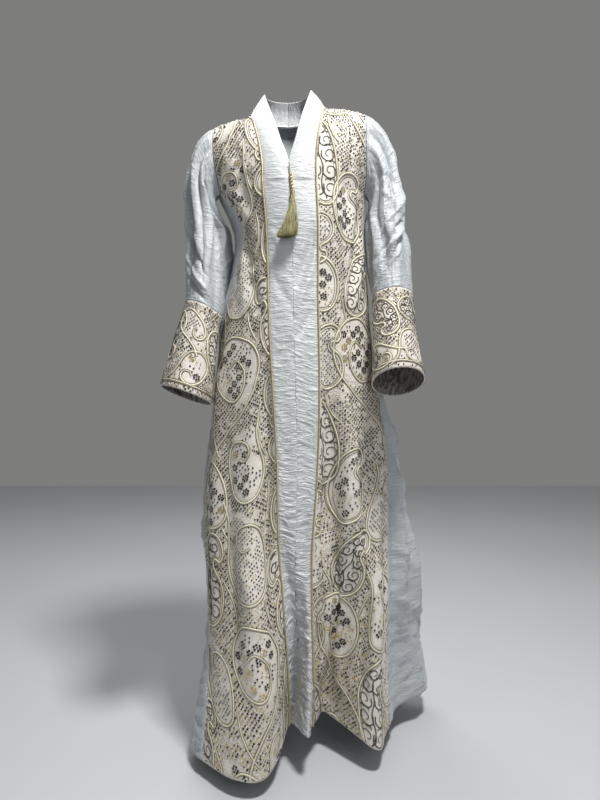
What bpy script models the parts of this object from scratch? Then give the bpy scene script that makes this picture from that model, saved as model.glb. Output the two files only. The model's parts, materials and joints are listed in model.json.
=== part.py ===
"""A worn abaya, hollow, as it hangs from the shoulders: a plain slub silk garment with two
embroidered front panels, embroidered bell cuffs, a grown-on stand collar with a V neck, gold
piping along the centre band and a beaded tassel.

Metres, +Z up. The front faces -Y and the wearer's left is +X. The origin is midway between the
tops of the shoulders, where the wearer carries the garment. Heights in the tables are measured
from the floor that the wearer stands on, and SHOULDER_HEIGHT takes them into the frame.
"""

import math

import bmesh
import bpy
import numpy as np

SHOULDER_HEIGHT = 1.430
UNDERARM_HEIGHT = 1.235
HEM_HEIGHT = 0.062
SEAM_GAP = 0.0003
ARMHOLE_GAP = 0.0005
PLAIN_CLOTH = 0.0014
EMBROIDERED_CLOTH = 0.0020
PIPING_RADIUS = 0.0017

# The wearer's left shoulder is carried higher, and the neckline sits a little to the right.
NECK_LIFT = 0.023
COLLAR_LIFT = 0.010
SHOULDER_LIFT = 0.034
NECK_SHIFT = -0.004

BODY_ROWS = 24
CHEST_STEPS = (0, 0.5, 1.0, 1.6, 2.3, 3.0, 3.7, 4.2, 4.65, 5.0)
CHEST_ROWS = len(CHEST_STEPS) - 1
V_ROW = 2
NECK_ROWS = 6
BAND_COLUMNS = 4
FRONT_COLUMNS = 13
SIDE_COLUMNS = 6
BACK_COLUMNS = 22
CAP_ROWS = 5
SLEEVE_ROWS = 6
CUFF_ROWS = 5
PIPING_SIDES = 6

UP = np.array([0.0, 0.0, 1.0])
RIM_ORDER = np.array([0.11, 0.37, 1.0])


class Table:
    """Rows of named columns, read on a smooth curve through the values of the first column."""

    def __init__(self, names, *rows):
        self.names = names.split()
        self.rows = np.array(rows, float)

    def read(self, name, place):
        """The column at a place along the first column, held level past both ends."""
        x = self.rows[:, 0]
        y = self.rows[:, self.names.index(name)]
        slope = np.gradient(y, x)
        place = np.clip(place, x[0], x[-1])
        i = np.clip(np.searchsorted(x, place, side="right") - 1, 0, len(x) - 2)
        span = x[i + 1] - x[i]
        t = (place - x[i]) / span
        rise = (1 + 2 * t) * (1 - t) ** 2 * y[i] + t * t * (3 - 2 * t) * y[i + 1]
        return rise + t * (1 - t) ** 2 * span * slope[i] - t * t * (1 - t) * span * slope[i + 1]


# Horizontal sections of the body: where the middle lies, the half width, the depth in front of
# the middle and behind it, and how far the section is turned by the stride, in degrees.
SECTIONS = Table(
    "height across forward half front back turn",
    (0.03, 0.068, -0.006, 0.300, 0.172, 0.190, 28),
    (0.20, 0.063, -0.006, 0.264, 0.165, 0.180, 25),
    (0.35, 0.063, -0.004, 0.254, 0.158, 0.172, 20),
    (0.50, 0.040, -0.002, 0.233, 0.150, 0.162, 14),
    (0.65, 0.031, 0.000, 0.215, 0.143, 0.152, 8),
    (0.80, 0.020, 0.000, 0.191, 0.137, 0.142, 4),
    (0.95, 0.017, 0.000, 0.169, 0.130, 0.122, 0),
    (1.06, 0.022, 0.000, 0.156, 0.124, 0.104, 0),
    (1.15, 0.022, 0.000, 0.150, 0.128, 0.100, 0),
    (1.235, 0.006, 0.000, 0.170, 0.124, 0.104, 0),
)

# Front seams by how far across they show from the front, and the side seams by their bearing:
# 0 is the front, 90 the left, -90 the right, in degrees.
SEAMS = Table(
    "height piping_right piping_left outer_left outer_right side_right side_left",
    (0.03, 0.000, 0.050, 0.226, -77, -128, 92),
    (0.20, -0.002, 0.051, 0.221, -84, -126, 94),
    (0.35, -0.011, 0.050, 0.219, -92, -120, 96),
    (0.50, -0.018, 0.056, 0.221, -94, -114, 98),
    (0.65, -0.023, 0.062, 0.219, -92, -108, 98),
    (0.80, -0.033, 0.0645, 0.200, -89, -102, 96),
    (0.92, -0.040, 0.0635, 0.186, -82, -98, 94),
    (1.00, -0.043, 0.0625, 0.180, -73, -95, 92),
    (1.08, -0.045, 0.0625, 0.173, -61, -92, 90),
    (1.15, -0.048, 0.062, 0.168, -56, -90, 90),
    (1.235, -0.055, 0.0585, 0.170, -72, -90, 90),
)

# How high the hem hangs above the floor, round the body by bearing.
HEM = Table(
    "bearing height",
    (-180, 0.058),
    (-150, 0.055),
    (-125, 0.042),
    (-100, 0.032),
    (-80, 0.034),
    (-55, 0.036),
    (-40, 0.040),
    (-33, 0.060),
    (-29, 0.082),
    (-24, 0.090),
    (-17, 0.078),
    (-5, 0.084),
    (1, 0.070),
    (7, 0.050),
    (18, 0.048),
    (38, 0.058),
    (60, 0.066),
    (95, 0.072),
    (125, 0.068),
    (155, 0.060),
    (180, 0.058),
)

# Folds of the skirt: bearing at the hem and at the top end, the height of that end, how far the
# cloth stands out (or in, below 0), half its width in degrees, how far its crest leans left.
# Columns: bearing, top bearing, top height, depth, half width, lean.
FOLDS = (
    (-50, -44, 0.86, 0.036, 15, 0.012),
    (-30, -24, 0.62, -0.092, 7, 0.006),
    (-15, -9, 0.62, -0.060, 8, 0.000),
    (-24, -14, 0.50, 0.050, 4, 0.000),
    (-5, 15, 0.80, -0.088, 7, -0.004),
    (7, 31, 0.86, 0.034, 6, -0.010),
    (38, 48, 0.76, -0.052, 20, 0.000),
    (90, 86, 0.70, 0.018, 10, 0.000),
    (108, 112, 0.82, -0.026, 9, 0.000),
    (128, 130, 0.90, 0.026, 10, 0.008),
    (148, 150, 0.84, -0.028, 9, 0.000),
    (168, 166, 0.92, 0.026, 10, -0.006),
    (190, 188, 0.80, -0.030, 9, 0.000),
    (212, 208, 0.90, 0.026, 10, 0.006),
    (232, 230, 0.82, -0.012, 10, 0.000),
)

# The right half of the centre band above the underarm, up the V neck and round to the centre of
# the back. The left half is its mirror, lifted with the left shoulder.
NECK_SHOULDER = 5.0
NECK_BACK = 8.0
BAND = Table(
    "step outer_across outer_forward outer_height inner_across inner_forward inner_height",
    (0, 0.0575, -0.1150, 1.235, 0.0000, -0.1235, 1.235),
    (1, 0.0580, -0.1120, 1.279, 0.0000, -0.1170, 1.279),
    (2, 0.0640, -0.1010, 1.330, 0.0155, -0.1040, 1.330),
    (3, 0.0750, -0.0770, 1.378, 0.0275, -0.0820, 1.378),
    (4, 0.0845, -0.0420, 1.404, 0.0420, -0.0500, 1.428),
    (5, 0.0890, 0.0000, 1.4155, 0.0535, -0.0080, 1.474),
    (6, 0.0800, 0.0400, 1.4260, 0.0520, 0.0280, 1.482),
    (7, 0.0480, 0.0660, 1.4240, 0.0320, 0.0540, 1.484),
    (8, 0.0000, 0.0740, 1.4220, 0.0000, 0.0630, 1.484),
)

# Edges of the right armhole from the underarm, at 0, to the shoulder point, at 1.
ARMHOLE = Table(
    "share across front back height",
    (0.0, 0.1640, -0.0400, 0.0000, 1.235),
    (0.2, 0.1680, -0.0560, 0.0430, 1.268),
    (0.5, 0.1710, -0.0600, 0.0600, 1.322),
    (0.8, 0.1725, -0.0420, 0.0480, 1.378),
    (1.0, 0.1730, 0.0000, 0.0000, 1.396),
)

# Sections of each sleeve and of its cuff, from the top down: the middle of the ring, its half
# width and half depth, how far its outer side and its front are tipped up, and how far its front
# is turned in towards the body, in degrees.
SLEEVE_NAMES = "step across forward height half_width half_depth side_tip front_tip turn"
CUFF_STEP = 3.0
RIGHT_SLEEVE = Table(
    SLEEVE_NAMES,
    (0, -0.1880, -0.006, 1.165, 0.0435, 0.064, 16, 0, 0),
    (1, -0.1880, -0.014, 1.110, 0.0440, 0.066, 16, 2, 4),
    (2, -0.1925, -0.022, 1.050, 0.0445, 0.068, 18, 4, 8),
    (3, -0.1950, -0.036, 0.972, 0.0420, 0.068, 22, 6, 12),
    (4, -0.2060, -0.052, 0.908, 0.0470, 0.070, 22, 8, 13),
    (5, -0.2165, -0.064, 0.842, 0.0530, 0.075, 20, 8, 14),
    (6, -0.2260, -0.074, 0.778, 0.0585, 0.081, 19, 9, 14),
)
LEFT_SLEEVE = Table(
    SLEEVE_NAMES,
    (0, 0.2220, -0.010, 1.180, 0.0400, 0.066, 6, 2, 0),
    (1, 0.2260, -0.022, 1.125, 0.0410, 0.067, 6, 6, 4),
    (2, 0.2290, -0.036, 1.070, 0.0440, 0.068, 6, 10, 8),
    (3, 0.2310, -0.058, 0.998, 0.0440, 0.068, 4, 8, 12),
    (4, 0.2300, -0.082, 0.934, 0.0450, 0.070, 4, 14, 13),
    (5, 0.2310, -0.104, 0.869, 0.0490, 0.075, 5, 19, 13),
    (6, 0.2330, -0.122, 0.806, 0.0560, 0.081, 5, 21, 13),
)

# Long folds of the sleeves: bearing round the arm (0 is the outer side, 90 the front), the steps
# where the fold starts and ends, its depth and half its width in degrees.
SLEEVE_FOLD_COLUMNS = "bearing start end depth half_width".split()
RIGHT_SLEEVE_FOLDS = (
    (52, -1.0, 3.0, -0.008, 16),
    (84, -1.0, 3.2, 0.006, 16),
    (128, -0.6, 3.6, -0.013, 14),
    (190, -0.8, 3.4, 0.018, 30),
    (285, -0.8, 3.0, -0.008, 18),
)
LEFT_SLEEVE_FOLDS = (
    (38, -1.0, 3.0, -0.007, 15),
    (70, -1.0, 3.4, 0.006, 14),
    (104, -1.0, 2.6, -0.008, 14),
    (186, -0.8, 2.9, 0.016, 30),
    (290, -0.8, 3.0, -0.008, 18),
)

# The beaded hanger and the tassel, which lie on the chest below the V neck.
BEAD_RADIUS = 0.0034
BEAD_COUNT = 5
BEAD_PITCH = 0.0072
THREAD_RADIUS = 0.0011
HANGER_TOP = 1.272
TASSEL_TOP = 1.213
TASSEL_END = 1.107
HANGER_SWING = 0.006
TASSEL_HEAD_RADIUS = 0.0042
TASSEL_HEAD_LENGTH = 0.012
TASSEL_SPREAD = 6.0
TASSEL_FLATNESS = 0.35
TASSEL_SWING = 0.006
TASSEL_GRID = 7
TASSEL_STEPS = 4
ROUND_SIDES = 10

COLOURS = {
    "plain": ((0.66, 0.70, 0.75, 1), 0.45, 0.0),
    "embroidered": ((0.72, 0.66, 0.50, 1), 0.50, 0.1),
    "gold": ((0.70, 0.52, 0.18, 1), 0.35, 0.6),
    "beads": ((0.72, 0.54, 0.20, 1), 0.25, 0.9),
    "tassel": ((0.62, 0.54, 0.12, 1), 0.50, 0.1),
}


def smooth_step(t):
    """0 to 1 with level ends."""
    t = np.clip(t, 0.0, 1.0)
    return t * t * (3 - 2 * t)


def unit(vectors):
    return vectors / np.linalg.norm(vectors, axis=-1, keepdims=True)


def place(across, forward, height):
    """Table values as a point of the frame."""
    return np.stack(np.broadcast_arrays(across, forward, height - SHOULDER_HEIGHT), axis=-1)


def bump(degrees, half_width):
    """A rounded ridge over an angle, 1 at its crest, wrapped round the circle."""
    degrees = (degrees + 180) % 360 - 180
    return np.exp(-((degrees / half_width) ** 2))


def hem_height(bearing):
    return HEM.read("height", (bearing + 180) % 360 - 180)


def ring_point(bearing, height):
    """A point of the skirt or bodice below the underarm, folds included."""
    angle = np.radians(bearing)
    half = SECTIONS.read("half", height)
    front = SECTIONS.read("front", height)
    back = SECTIONS.read("back", height)
    depth = np.where(np.cos(angle) > 0, front, back)
    side, fore = half * np.sin(angle), -depth * np.cos(angle)
    out_side, out_fore = depth * np.sin(angle), -half * np.cos(angle)
    size = np.hypot(out_side, out_fore)
    out_side, out_fore = out_side / size, out_fore / size
    for hem_bearing, top_bearing, top_height, depth_out, half_width, lean in FOLDS:
        fall = np.clip((top_height - height) / (top_height - HEM_HEIGHT), 0, 1)
        crest = hem_bearing + (top_bearing - hem_bearing) * (1 - fall)
        shape = bump(bearing - crest, half_width) * smooth_step(fall) * fall**0.3
        side = side + shape * (depth_out * out_side - lean * out_fore)
        fore = fore + shape * (depth_out * out_fore + lean * out_side)
    turn = np.radians(SECTIONS.read("turn", height))
    across = SECTIONS.read("across", height) + side * np.cos(turn) - fore * np.sin(turn)
    forward = SECTIONS.read("forward", height) + side * np.sin(turn) + fore * np.cos(turn)
    return place(across, forward, height)


def bearing_at(across, height, way, limit):
    """The first bearing from the middle, towards the right (-1) or the left (1), where the ring
    has gone this far across."""
    middle = (SEAMS.read("piping_right", height) + SEAMS.read("piping_left", height)) / 2
    tried = np.linspace(-60, 60, 601)
    points = ring_point(tried, height)[:, 0]
    start = int(np.argmin(np.abs(points - middle) + 0.0004 * np.abs(tried + 12)))
    count = int(limit / (tried[1] - tried[0]))
    bearings = tried[start] + way * np.linspace(0, limit, count)
    gone = way * (ring_point(bearings, height)[:, 0] - across)
    past = np.nonzero(gone >= 0)[0]
    return float(bearings[past[0]] if len(past) else bearings[-1])


def seam_bearings(height):
    """Bearings of the centre seam and of each seam from it to the left and right side seams."""
    right = SEAMS.read("piping_right", height)
    left = SEAMS.read("piping_left", height)
    piping_right = bearing_at(right, height, -1, 40)
    piping_left = bearing_at(left, height, 1, 40)
    outer_left = bearing_at(SEAMS.read("outer_left", height), height, 1, 88)
    return {
        "side_right": float(SEAMS.read("side_right", height)),
        "outer_right": float(SEAMS.read("outer_right", height)),
        "piping_right": piping_right,
        "centre": (piping_right + piping_left) / 2,
        "piping_left": piping_left,
        "outer_left": outer_left,
        "side_left": float(SEAMS.read("side_left", height)),
    }


# The panels round the body, from the right side seam through the front to the back.
PANEL_EDGES = (
    ("side_right", "outer_right", SIDE_COLUMNS),
    ("outer_right", "piping_right", FRONT_COLUMNS),
    ("piping_right", "centre", BAND_COLUMNS),
    ("centre", "piping_left", BAND_COLUMNS),
    ("piping_left", "outer_left", FRONT_COLUMNS),
    ("outer_left", "side_left", SIDE_COLUMNS),
    ("side_left", "side_right", BACK_COLUMNS),
)


def spread_evenly(first, last, height, count):
    """Bearings from first to last, without the last, at even distances along the cloth."""
    tried = np.linspace(first, last, 121)
    steps = np.linalg.norm(np.diff(ring_point(tried, height), axis=0), axis=1)
    along = np.concatenate([[0], np.cumsum(steps)])
    return np.interp(np.linspace(0, along[-1], count, endpoint=False), along, tried)


def body_bearings(height):
    """Bearings of every column round the ring, starting at the right side seam."""
    seams = seam_bearings(height)
    columns = []
    for start, end, count in PANEL_EDGES:
        first, last = seams[start], seams[end]
        if last < first:
            last += 360
        columns.append(spread_evenly(first, last, height, count))
    return np.concatenate(columns)


def body_grid():
    """Points of the closed lower body, a row for each height and a column for each bearing."""
    rows = []
    for share in np.linspace(0, 1, BODY_ROWS + 1):
        height = HEM_HEIGHT + share * (UNDERARM_HEIGHT - HEM_HEIGHT)
        bearings = body_bearings(height)
        heights = hem_height(bearings) * (1 - share) + UNDERARM_HEIGHT * share
        rows.append(ring_point(bearings, heights))
    return np.array(rows)


def band_point(which, step, side):
    """The outer or inner edge of the centre band on one side, -1 for right and 1 for left."""
    climb = smooth_step(step / NECK_SHOULDER)
    round_back = smooth_step((step - NECK_SHOULDER) / (NECK_BACK - NECK_SHOULDER))
    full = NECK_LIFT if which == "outer" else COLLAR_LIFT
    lift = full * (climb * (side > 0) * (1 - round_back) + round_back / 2)
    across = max(float(BAND.read(f"{which}_across", step)), 0.0)
    return place(
        side * across + NECK_SHIFT * climb,
        BAND.read(f"{which}_forward", step),
        BAND.read(f"{which}_height", step) + lift,
    )


def armhole_point(edge, share, side):
    lift = SHOULDER_LIFT * smooth_step(share) if side > 0 else 0.0
    across = side * ARMHOLE.read("across", share)
    return place(across, ARMHOLE.read(edge, share), ARMHOLE.read("height", share) + lift)


def eased(start_row, table_points, shares):
    """Table points moved so that the first lies on the start and the change fades out upward."""
    fade = (1 - smooth_step(np.asarray(shares) / 0.6))[:, None]
    return table_points + fade * (start_row - table_points[0])


def crossed(inner, outer, flat_row, columns):
    """Rows from inner to outer edge. The first row is flat_row, and its bulge turns from
    forward to upward as the rows climb over the shoulder."""
    share = np.linspace(0, 1, columns + 1)[:, None]
    first = inner[0] * (1 - share) + outer[0] * share
    bulge = np.linalg.norm(flat_row - first, axis=1)[:, None]
    direction = unit(np.sum(flat_row - first, axis=0))
    rows = [flat_row]
    for i in range(1, len(inner)):
        climb = i / (len(inner) - 1)
        turn = math.radians(85) * smooth_step(climb)
        way = unit(direction * math.cos(turn) + UP * math.sin(turn))
        straight = inner[i] * (1 - share) + outer[i] * share
        rows.append(straight + bulge * way * (1 - 0.92 * smooth_step(climb)))
    return np.array(rows)


def chest_grid(lower, side, first_column):
    """The front panel above the underarm, from the piping seam to the armhole, or the reverse."""
    top = lower[-1, first_column : first_column + FRONT_COLUMNS + 1]
    shares = np.array(CHEST_STEPS) / NECK_SHOULDER
    piping = np.array([band_point("outer", s * NECK_SHOULDER, side) for s in shares])
    armhole = np.array([armhole_point("front", s, side) for s in shares])
    inner_first = side > 0
    piping = eased(top[0] if inner_first else top[-1], piping, shares)
    armhole = eased(top[-1] if inner_first else top[0], armhole, shares)
    if inner_first:
        return crossed(piping, armhole, top, FRONT_COLUMNS)
    return crossed(armhole, piping, top, FRONT_COLUMNS)


def band_grid(lower, chest, side, first_column):
    """One half of the centre band from the underarm to the centre back, outer edge on the piping
    seam. Columns run from the right to the left, as round the ring."""
    top = lower[-1, first_column : first_column + BAND_COLUMNS + 1]
    shares = np.array(CHEST_STEPS) / NECK_SHOULDER
    steps = np.concatenate(
        [shares * NECK_SHOULDER, np.linspace(NECK_SHOULDER, NECK_BACK, NECK_ROWS + 1)[1:]]
    )
    outer = [band_point("outer", s, side) for s in steps]
    outer[: CHEST_ROWS + 1] = list(chest[:, 0 if side > 0 else -1])
    inner = np.array([band_point("inner", s, side) for s in steps])
    inner = eased(top[0] if side > 0 else top[-1], inner, steps / NECK_SHOULDER)
    share = np.linspace(0, 1, BAND_COLUMNS + 1)[:, None]
    rows = [top]
    for i in range(1, len(steps)):
        straight = inner[i] * (1 - share) + outer[i] * share
        out = unit(np.array([straight[0, 0], straight[0, 1], 0.02]))
        rows.append(straight + 0.004 * np.sin(math.pi * share) * out)
    rows = np.array(rows)
    if side < 0:
        rows[1:] = rows[1:, ::-1]
    return rows


def back_grid(lower, chest, bands):
    """The back above the underarm, from the left side seam to the right one."""
    columns = np.arange(len(lower[-1]))
    top = lower[-1, np.append(columns[-BACK_COLUMNS:], 0)]
    shares = np.array(CHEST_STEPS) / NECK_SHOULDER
    left = eased(top[0], np.array([armhole_point("back", s, 1) for s in shares]), shares)
    right = eased(top[-1], np.array([armhole_point("back", s, -1) for s in shares]), shares)
    crown = shoulder_and_neckline(chest, bands)
    across = np.linspace(0, 1, BACK_COLUMNS + 1)[:, None]
    near_left = 1 - smooth_step(across / 0.3)
    near_right = 1 - smooth_step((1 - across) / 0.3)
    rows = [top]
    for i in range(1, len(shares)):
        climb = shares[i]
        blend = climb**1.6
        base = between_edges(top, left[i][1], right[i][1], 1 - blend)
        level = base * (1 - blend) + crown * blend
        level[:, 2] = top[:, 2] + (crown[:, 2] - top[:, 2]) * climb
        hollow = math.sqrt(max(0.0, 1 - climb**3))
        level[:, 1] = crown[:, 1] + (base[:, 1] - crown[:, 1]) * hollow
        level = level + near_left * (left[i] - level[0]) + near_right * (right[i] - level[-1])
        rows.append(level)
    rows[-1] = crown
    return np.array(rows)


def between_edges(row, left_back, right_back, amount):
    """The row spread again between the places where it lies as far back as the armhole edges."""
    last = len(row) - 1
    places = np.linspace(0, last / 2, 60)
    depths = np.interp(places, np.arange(len(row)), row[:, 1])
    first = np.interp(left_back, depths, places) * amount
    depths = np.interp(last - places, np.arange(len(row)), row[:, 1])
    final = last - np.interp(right_back, depths, places) * amount
    at = np.linspace(first, final, len(row))
    return np.stack([np.interp(at, np.arange(len(row)), row[:, i]) for i in range(3)], axis=-1)


def shoulder_and_neckline(chest, bands):
    """Top edge of the back: left shoulder seam, back neckline, right shoulder seam."""
    neckline = np.concatenate(
        [bands["left"][CHEST_ROWS:, -1], bands["right"][CHEST_ROWS:, 0][::-1][1:]]
    )
    count = (BACK_COLUMNS - 2 * NECK_ROWS) // 2
    at = np.linspace(0, FRONT_COLUMNS, count + 1)[:-1]
    columns = np.arange(FRONT_COLUMNS + 1)

    def along(row):
        return np.stack([np.interp(at, columns, row[:, axis]) for axis in range(3)], axis=-1)

    left = along(chest["left"][-1, ::-1])
    right = along(chest["right"][-1])[::-1]
    return np.concatenate([left, neckline, right])


def grid_normals(points, outward, closed=False):
    """Unit normals of a grid by central differences, turned to agree with a rough outward way."""
    along = np.gradient(points, axis=0)
    if closed:
        around = (np.roll(points, -1, axis=1) - np.roll(points, 1, axis=1)) / 2
    else:
        around = np.gradient(points, axis=1)
    normals = unit(np.cross(around, along))
    agree = np.sum(normals * outward, axis=-1).mean()
    return normals if agree > 0 else -normals


class Sheet:
    """A piece of cloth: its outer points in rows and columns, and which way its thickness lies.
    The wall goes from each point against the normal stored for it."""

    def __init__(self, points, normals, thickness, look, closed=False):
        self.points = np.array(points)
        self.normals = np.array(normals)
        self.thickness = thickness
        self.look = look
        self.closed = closed


def mitre(first, first_at, second, second_at):
    """Turn the normals of two sheets along a shared seam into the plane halfway between them, so
    that their walls meet there edge to edge."""
    one = unit(first.normals[first_at])
    other = unit(second.normals[second_at])
    half = unit(one + other)
    first.normals[first_at] = half / np.sum(half * one, axis=-1, keepdims=True)
    second.normals[second_at] = half / np.sum(half * other, axis=-1, keepdims=True)


def lean_on(sheet, at, half):
    """Point the normals of a sheet along a seam the given way, keeping its thickness."""
    own = unit(sheet.normals[at])
    along = np.clip(np.sum(half * own, axis=-1, keepdims=True), 0.4, 1.0)
    sheet.normals[at] = half / along


def drawn_in(points, closed):
    """Outer columns drawn in by half a seam gap, so that neighbours stay SEAM_GAP apart."""
    points = points.copy()
    if not closed:
        points[:, 0] += unit(points[:, 1] - points[:, 0]) * SEAM_GAP / 2
        points[:, -1] += unit(points[:, -2] - points[:, -1]) * SEAM_GAP / 2
    return points


def material(name):
    colour, roughness, metallic = COLOURS[name]
    made = bpy.data.materials.new(name)
    made.use_nodes = True
    made.diffuse_color = colour
    surface = made.node_tree.nodes["Principled BSDF"]
    surface.inputs["Base Color"].default_value = colour
    surface.inputs["Roughness"].default_value = roughness
    surface.inputs["Metallic"].default_value = metallic
    return made


def add_mesh(name, look, points, faces):
    """An object of triangles, turned outward."""
    mesh = bpy.data.meshes.new(name)
    mesh.from_pydata([tuple(map(float, p)) for p in points], [], faces)
    bm = bmesh.new()
    bm.from_mesh(mesh)
    bmesh.ops.triangulate(bm, faces=bm.faces)
    bmesh.ops.recalc_face_normals(bm, faces=bm.faces)
    bm.to_mesh(mesh)
    bm.free()
    mesh.materials.append(bpy.data.materials.get(look) or material(look))
    mesh.shade_smooth()
    obj = bpy.data.objects.new(name, mesh)
    bpy.context.scene.collection.objects.link(obj)
    return obj


def add_wall(name, sheet):
    """A sheet of cloth as a closed solid: the grid, the same grid moved inward, and the rims."""
    points = drawn_in(sheet.points, sheet.closed)
    rows, columns = points.shape[:2]
    inner = points - sheet.normals * sheet.thickness
    both = np.concatenate([points.reshape(-1, 3), inner.reshape(-1, 3)])
    deep = rows * columns
    faces = []

    def quad(a, b, c, d):
        faces.append((a, b, c))
        faces.append((a, c, d))

    def rim(a, b):
        """Joins outer a and b to their inner points. The split starts at the lower outer point,
        so that the rims of two pieces at one seam are split alike."""
        low, high = sorted((a, b), key=lambda v: float(both[v] @ RIM_ORDER))
        faces.append((low, high, high + deep))
        faces.append((low, high + deep, low + deep))

    for j in range(columns if sheet.closed else columns - 1):
        k = (j + 1) % columns
        for i in range(rows - 1):
            a, b = i * columns + j, i * columns + k
            c, d = b + columns, a + columns
            quad(a, b, c, d)
            quad(a + deep, d + deep, c + deep, b + deep)
        rim(j, k)
        rim((rows - 1) * columns + j, (rows - 1) * columns + k)
    if not sheet.closed:
        for i in range(rows - 1):
            rim(i * columns, (i + 1) * columns)
            rim((i + 1) * columns - 1, (i + 2) * columns - 1)
    return add_mesh(name, sheet.look, both, faces)


def sleeve_ring(table, folds, step, bearings, side):
    """One ring of a sleeve or cuff at bearings round the arm: 0 is the outer side, 90 the front."""
    angle = np.radians(bearings)
    half_width = table.read("half_width", step)
    half_depth = table.read("half_depth", step)
    swell = 1.0
    for bearing, start, end, depth, width in folds:
        along = np.clip((step - start) / (end - start), 0, 1)
        strength = np.sin(math.pi * along) ** 0.7
        swell = swell + depth / half_depth * strength * bump(bearings - bearing, width)
    out = half_width * np.cos(angle) * swell
    fore = -half_depth * np.sin(angle) * swell
    turn = math.radians(table.read("turn", step))
    out, fore = (
        out * math.cos(turn) + fore * math.sin(turn),
        fore * math.cos(turn) - out * math.sin(turn),
    )
    side_tip = math.radians(table.read("side_tip", step))
    front_tip = math.radians(table.read("front_tip", step))
    rise = out * math.sin(side_tip) - fore * math.sin(front_tip)
    return place(
        table.read("across", step) + side * out * math.cos(side_tip),
        table.read("forward", step) + fore * math.cos(front_tip),
        table.read("height", step) + rise,
    )


def loop_bearings(loop):
    """Bearings round the arm for the points of an armhole, spread by their distance round it."""
    steps = np.linalg.norm(np.roll(loop, -1, axis=0) - loop, axis=1)
    return 360 * np.concatenate([[0], np.cumsum(steps)[:-1]]) / steps.sum()


def sleeve_grid(loop, table, folds, side):
    """Rows from the armhole over the cap and down to the cuff seam."""
    bearings = loop_bearings(loop)
    target = sleeve_ring(table, folds, 0.0, bearings, side)
    below = sleeve_ring(table, folds, 0.4, bearings, side)
    reach = np.linalg.norm(target - loop, axis=1)[:, None]
    leave = unit(np.array([side * 0.90, 0.0, -0.43])) * reach
    arrive = unit(below - target) * reach
    rows = []
    for t in np.linspace(0, 1, CAP_ROWS + 1)[:-1]:
        rows.append(
            (1 + 2 * t) * (1 - t) ** 2 * loop
            + t * (1 - t) ** 2 * leave
            + t * t * (3 - 2 * t) * target
            - t * t * (1 - t) * arrive
        )
    rows[0] = loop + unit(rows[1] - loop) * ARMHOLE_GAP
    for step in np.linspace(0, CUFF_STEP, SLEEVE_ROWS + 1):
        rows.append(sleeve_ring(table, folds, step, bearings, side))
    return np.array(rows)


def cuff_grid(loop, table, folds, side):
    bearings = loop_bearings(loop)
    last = table.rows[-1, 0]
    rows = [
        sleeve_ring(table, folds, step, bearings, side)
        for step in np.linspace(CUFF_STEP, last, CUFF_ROWS + 1)
    ]
    rows[0] = rows[0] + unit(rows[1] - rows[0]) * SEAM_GAP
    return np.array(rows)


def away_from_axis(points):
    """Rough outward directions for a tube's rows, from the middle of each row."""
    return unit(points - points.mean(axis=1, keepdims=True))


def add_tube(name, look, rings):
    """Rings of equal count joined into a closed tube with flat ends."""
    rings = np.array(rings)
    count, sides = rings.shape[:2]
    faces = []
    for i in range(count - 1):
        for j in range(sides):
            k = (j + 1) % sides
            low, high = i * sides, (i + 1) * sides
            faces.append((low + j, low + k, high + k))
            faces.append((low + j, high + k, high + j))
    faces.append(tuple(range(sides)))
    faces.append(tuple(range((count - 1) * sides, count * sides)))
    return add_mesh(name, look, rings.reshape(-1, 3), faces)


def add_piping(name, seam, right_beside, left_beside, normals):
    """A round cord lying on a seam, clear of the cloth on both sides of it. Where the two sides
    close up into a groove, it lies further out."""
    along = unit(np.gradient(seam, axis=0))
    right = np.cross(along, right_beside - seam)
    left = np.cross(along, left_beside - seam)
    right = unit(right * np.sign(np.sum(right * normals, axis=-1, keepdims=True)))
    left = unit(left * np.sign(np.sum(left * normals, axis=-1, keepdims=True)))
    way = unit(right + left)
    groove = np.sum(way * (right_beside - seam), axis=-1, keepdims=True) > 0
    squeeze = np.maximum(np.sum(way * right, axis=-1, keepdims=True), 0.4)
    clear = PIPING_RADIUS + SEAM_GAP
    centre = seam + way * clear / np.where(groove, squeeze, 1.0)
    along = unit(np.gradient(centre, axis=0))
    beside = unit(np.cross(along, way))
    out = np.cross(beside, along)
    turn = np.radians(np.arange(PIPING_SIDES) * 360 / PIPING_SIDES)[:, None]
    rings = [
        centre[i] + (np.cos(turn) * beside[i] + np.sin(turn) * out[i]) * PIPING_RADIUS
        for i in range(len(centre))
    ]
    return add_tube(name, "gold", rings)


def add_bead_string(name, top, bottom):
    """Beads threaded on a cord, as one turned shape along the line from top to bottom."""
    length = np.linalg.norm(bottom - top)
    profile = [(0.0, THREAD_RADIUS)]
    for bead in range(BEAD_COUNT):
        middle = length - (BEAD_COUNT - bead - 0.5) * BEAD_PITCH
        for turn in (-70, -35, 0, 35, 70):
            angle = math.radians(turn)
            profile.append((middle + BEAD_RADIUS * math.sin(angle), BEAD_RADIUS * math.cos(angle)))
    profile.append((length, THREAD_RADIUS))
    axis = unit(bottom - top)
    first = unit(np.cross(axis, np.array([0.0, 1.0, 0.0])))
    second = np.cross(axis, first)
    turn = np.radians(np.arange(ROUND_SIDES) * 360 / ROUND_SIDES)[:, None]
    way = np.cos(turn) * first + np.sin(turn) * second
    return add_tube(name, "beads", [top + axis * along + radius * way for along, radius in profile])


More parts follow.
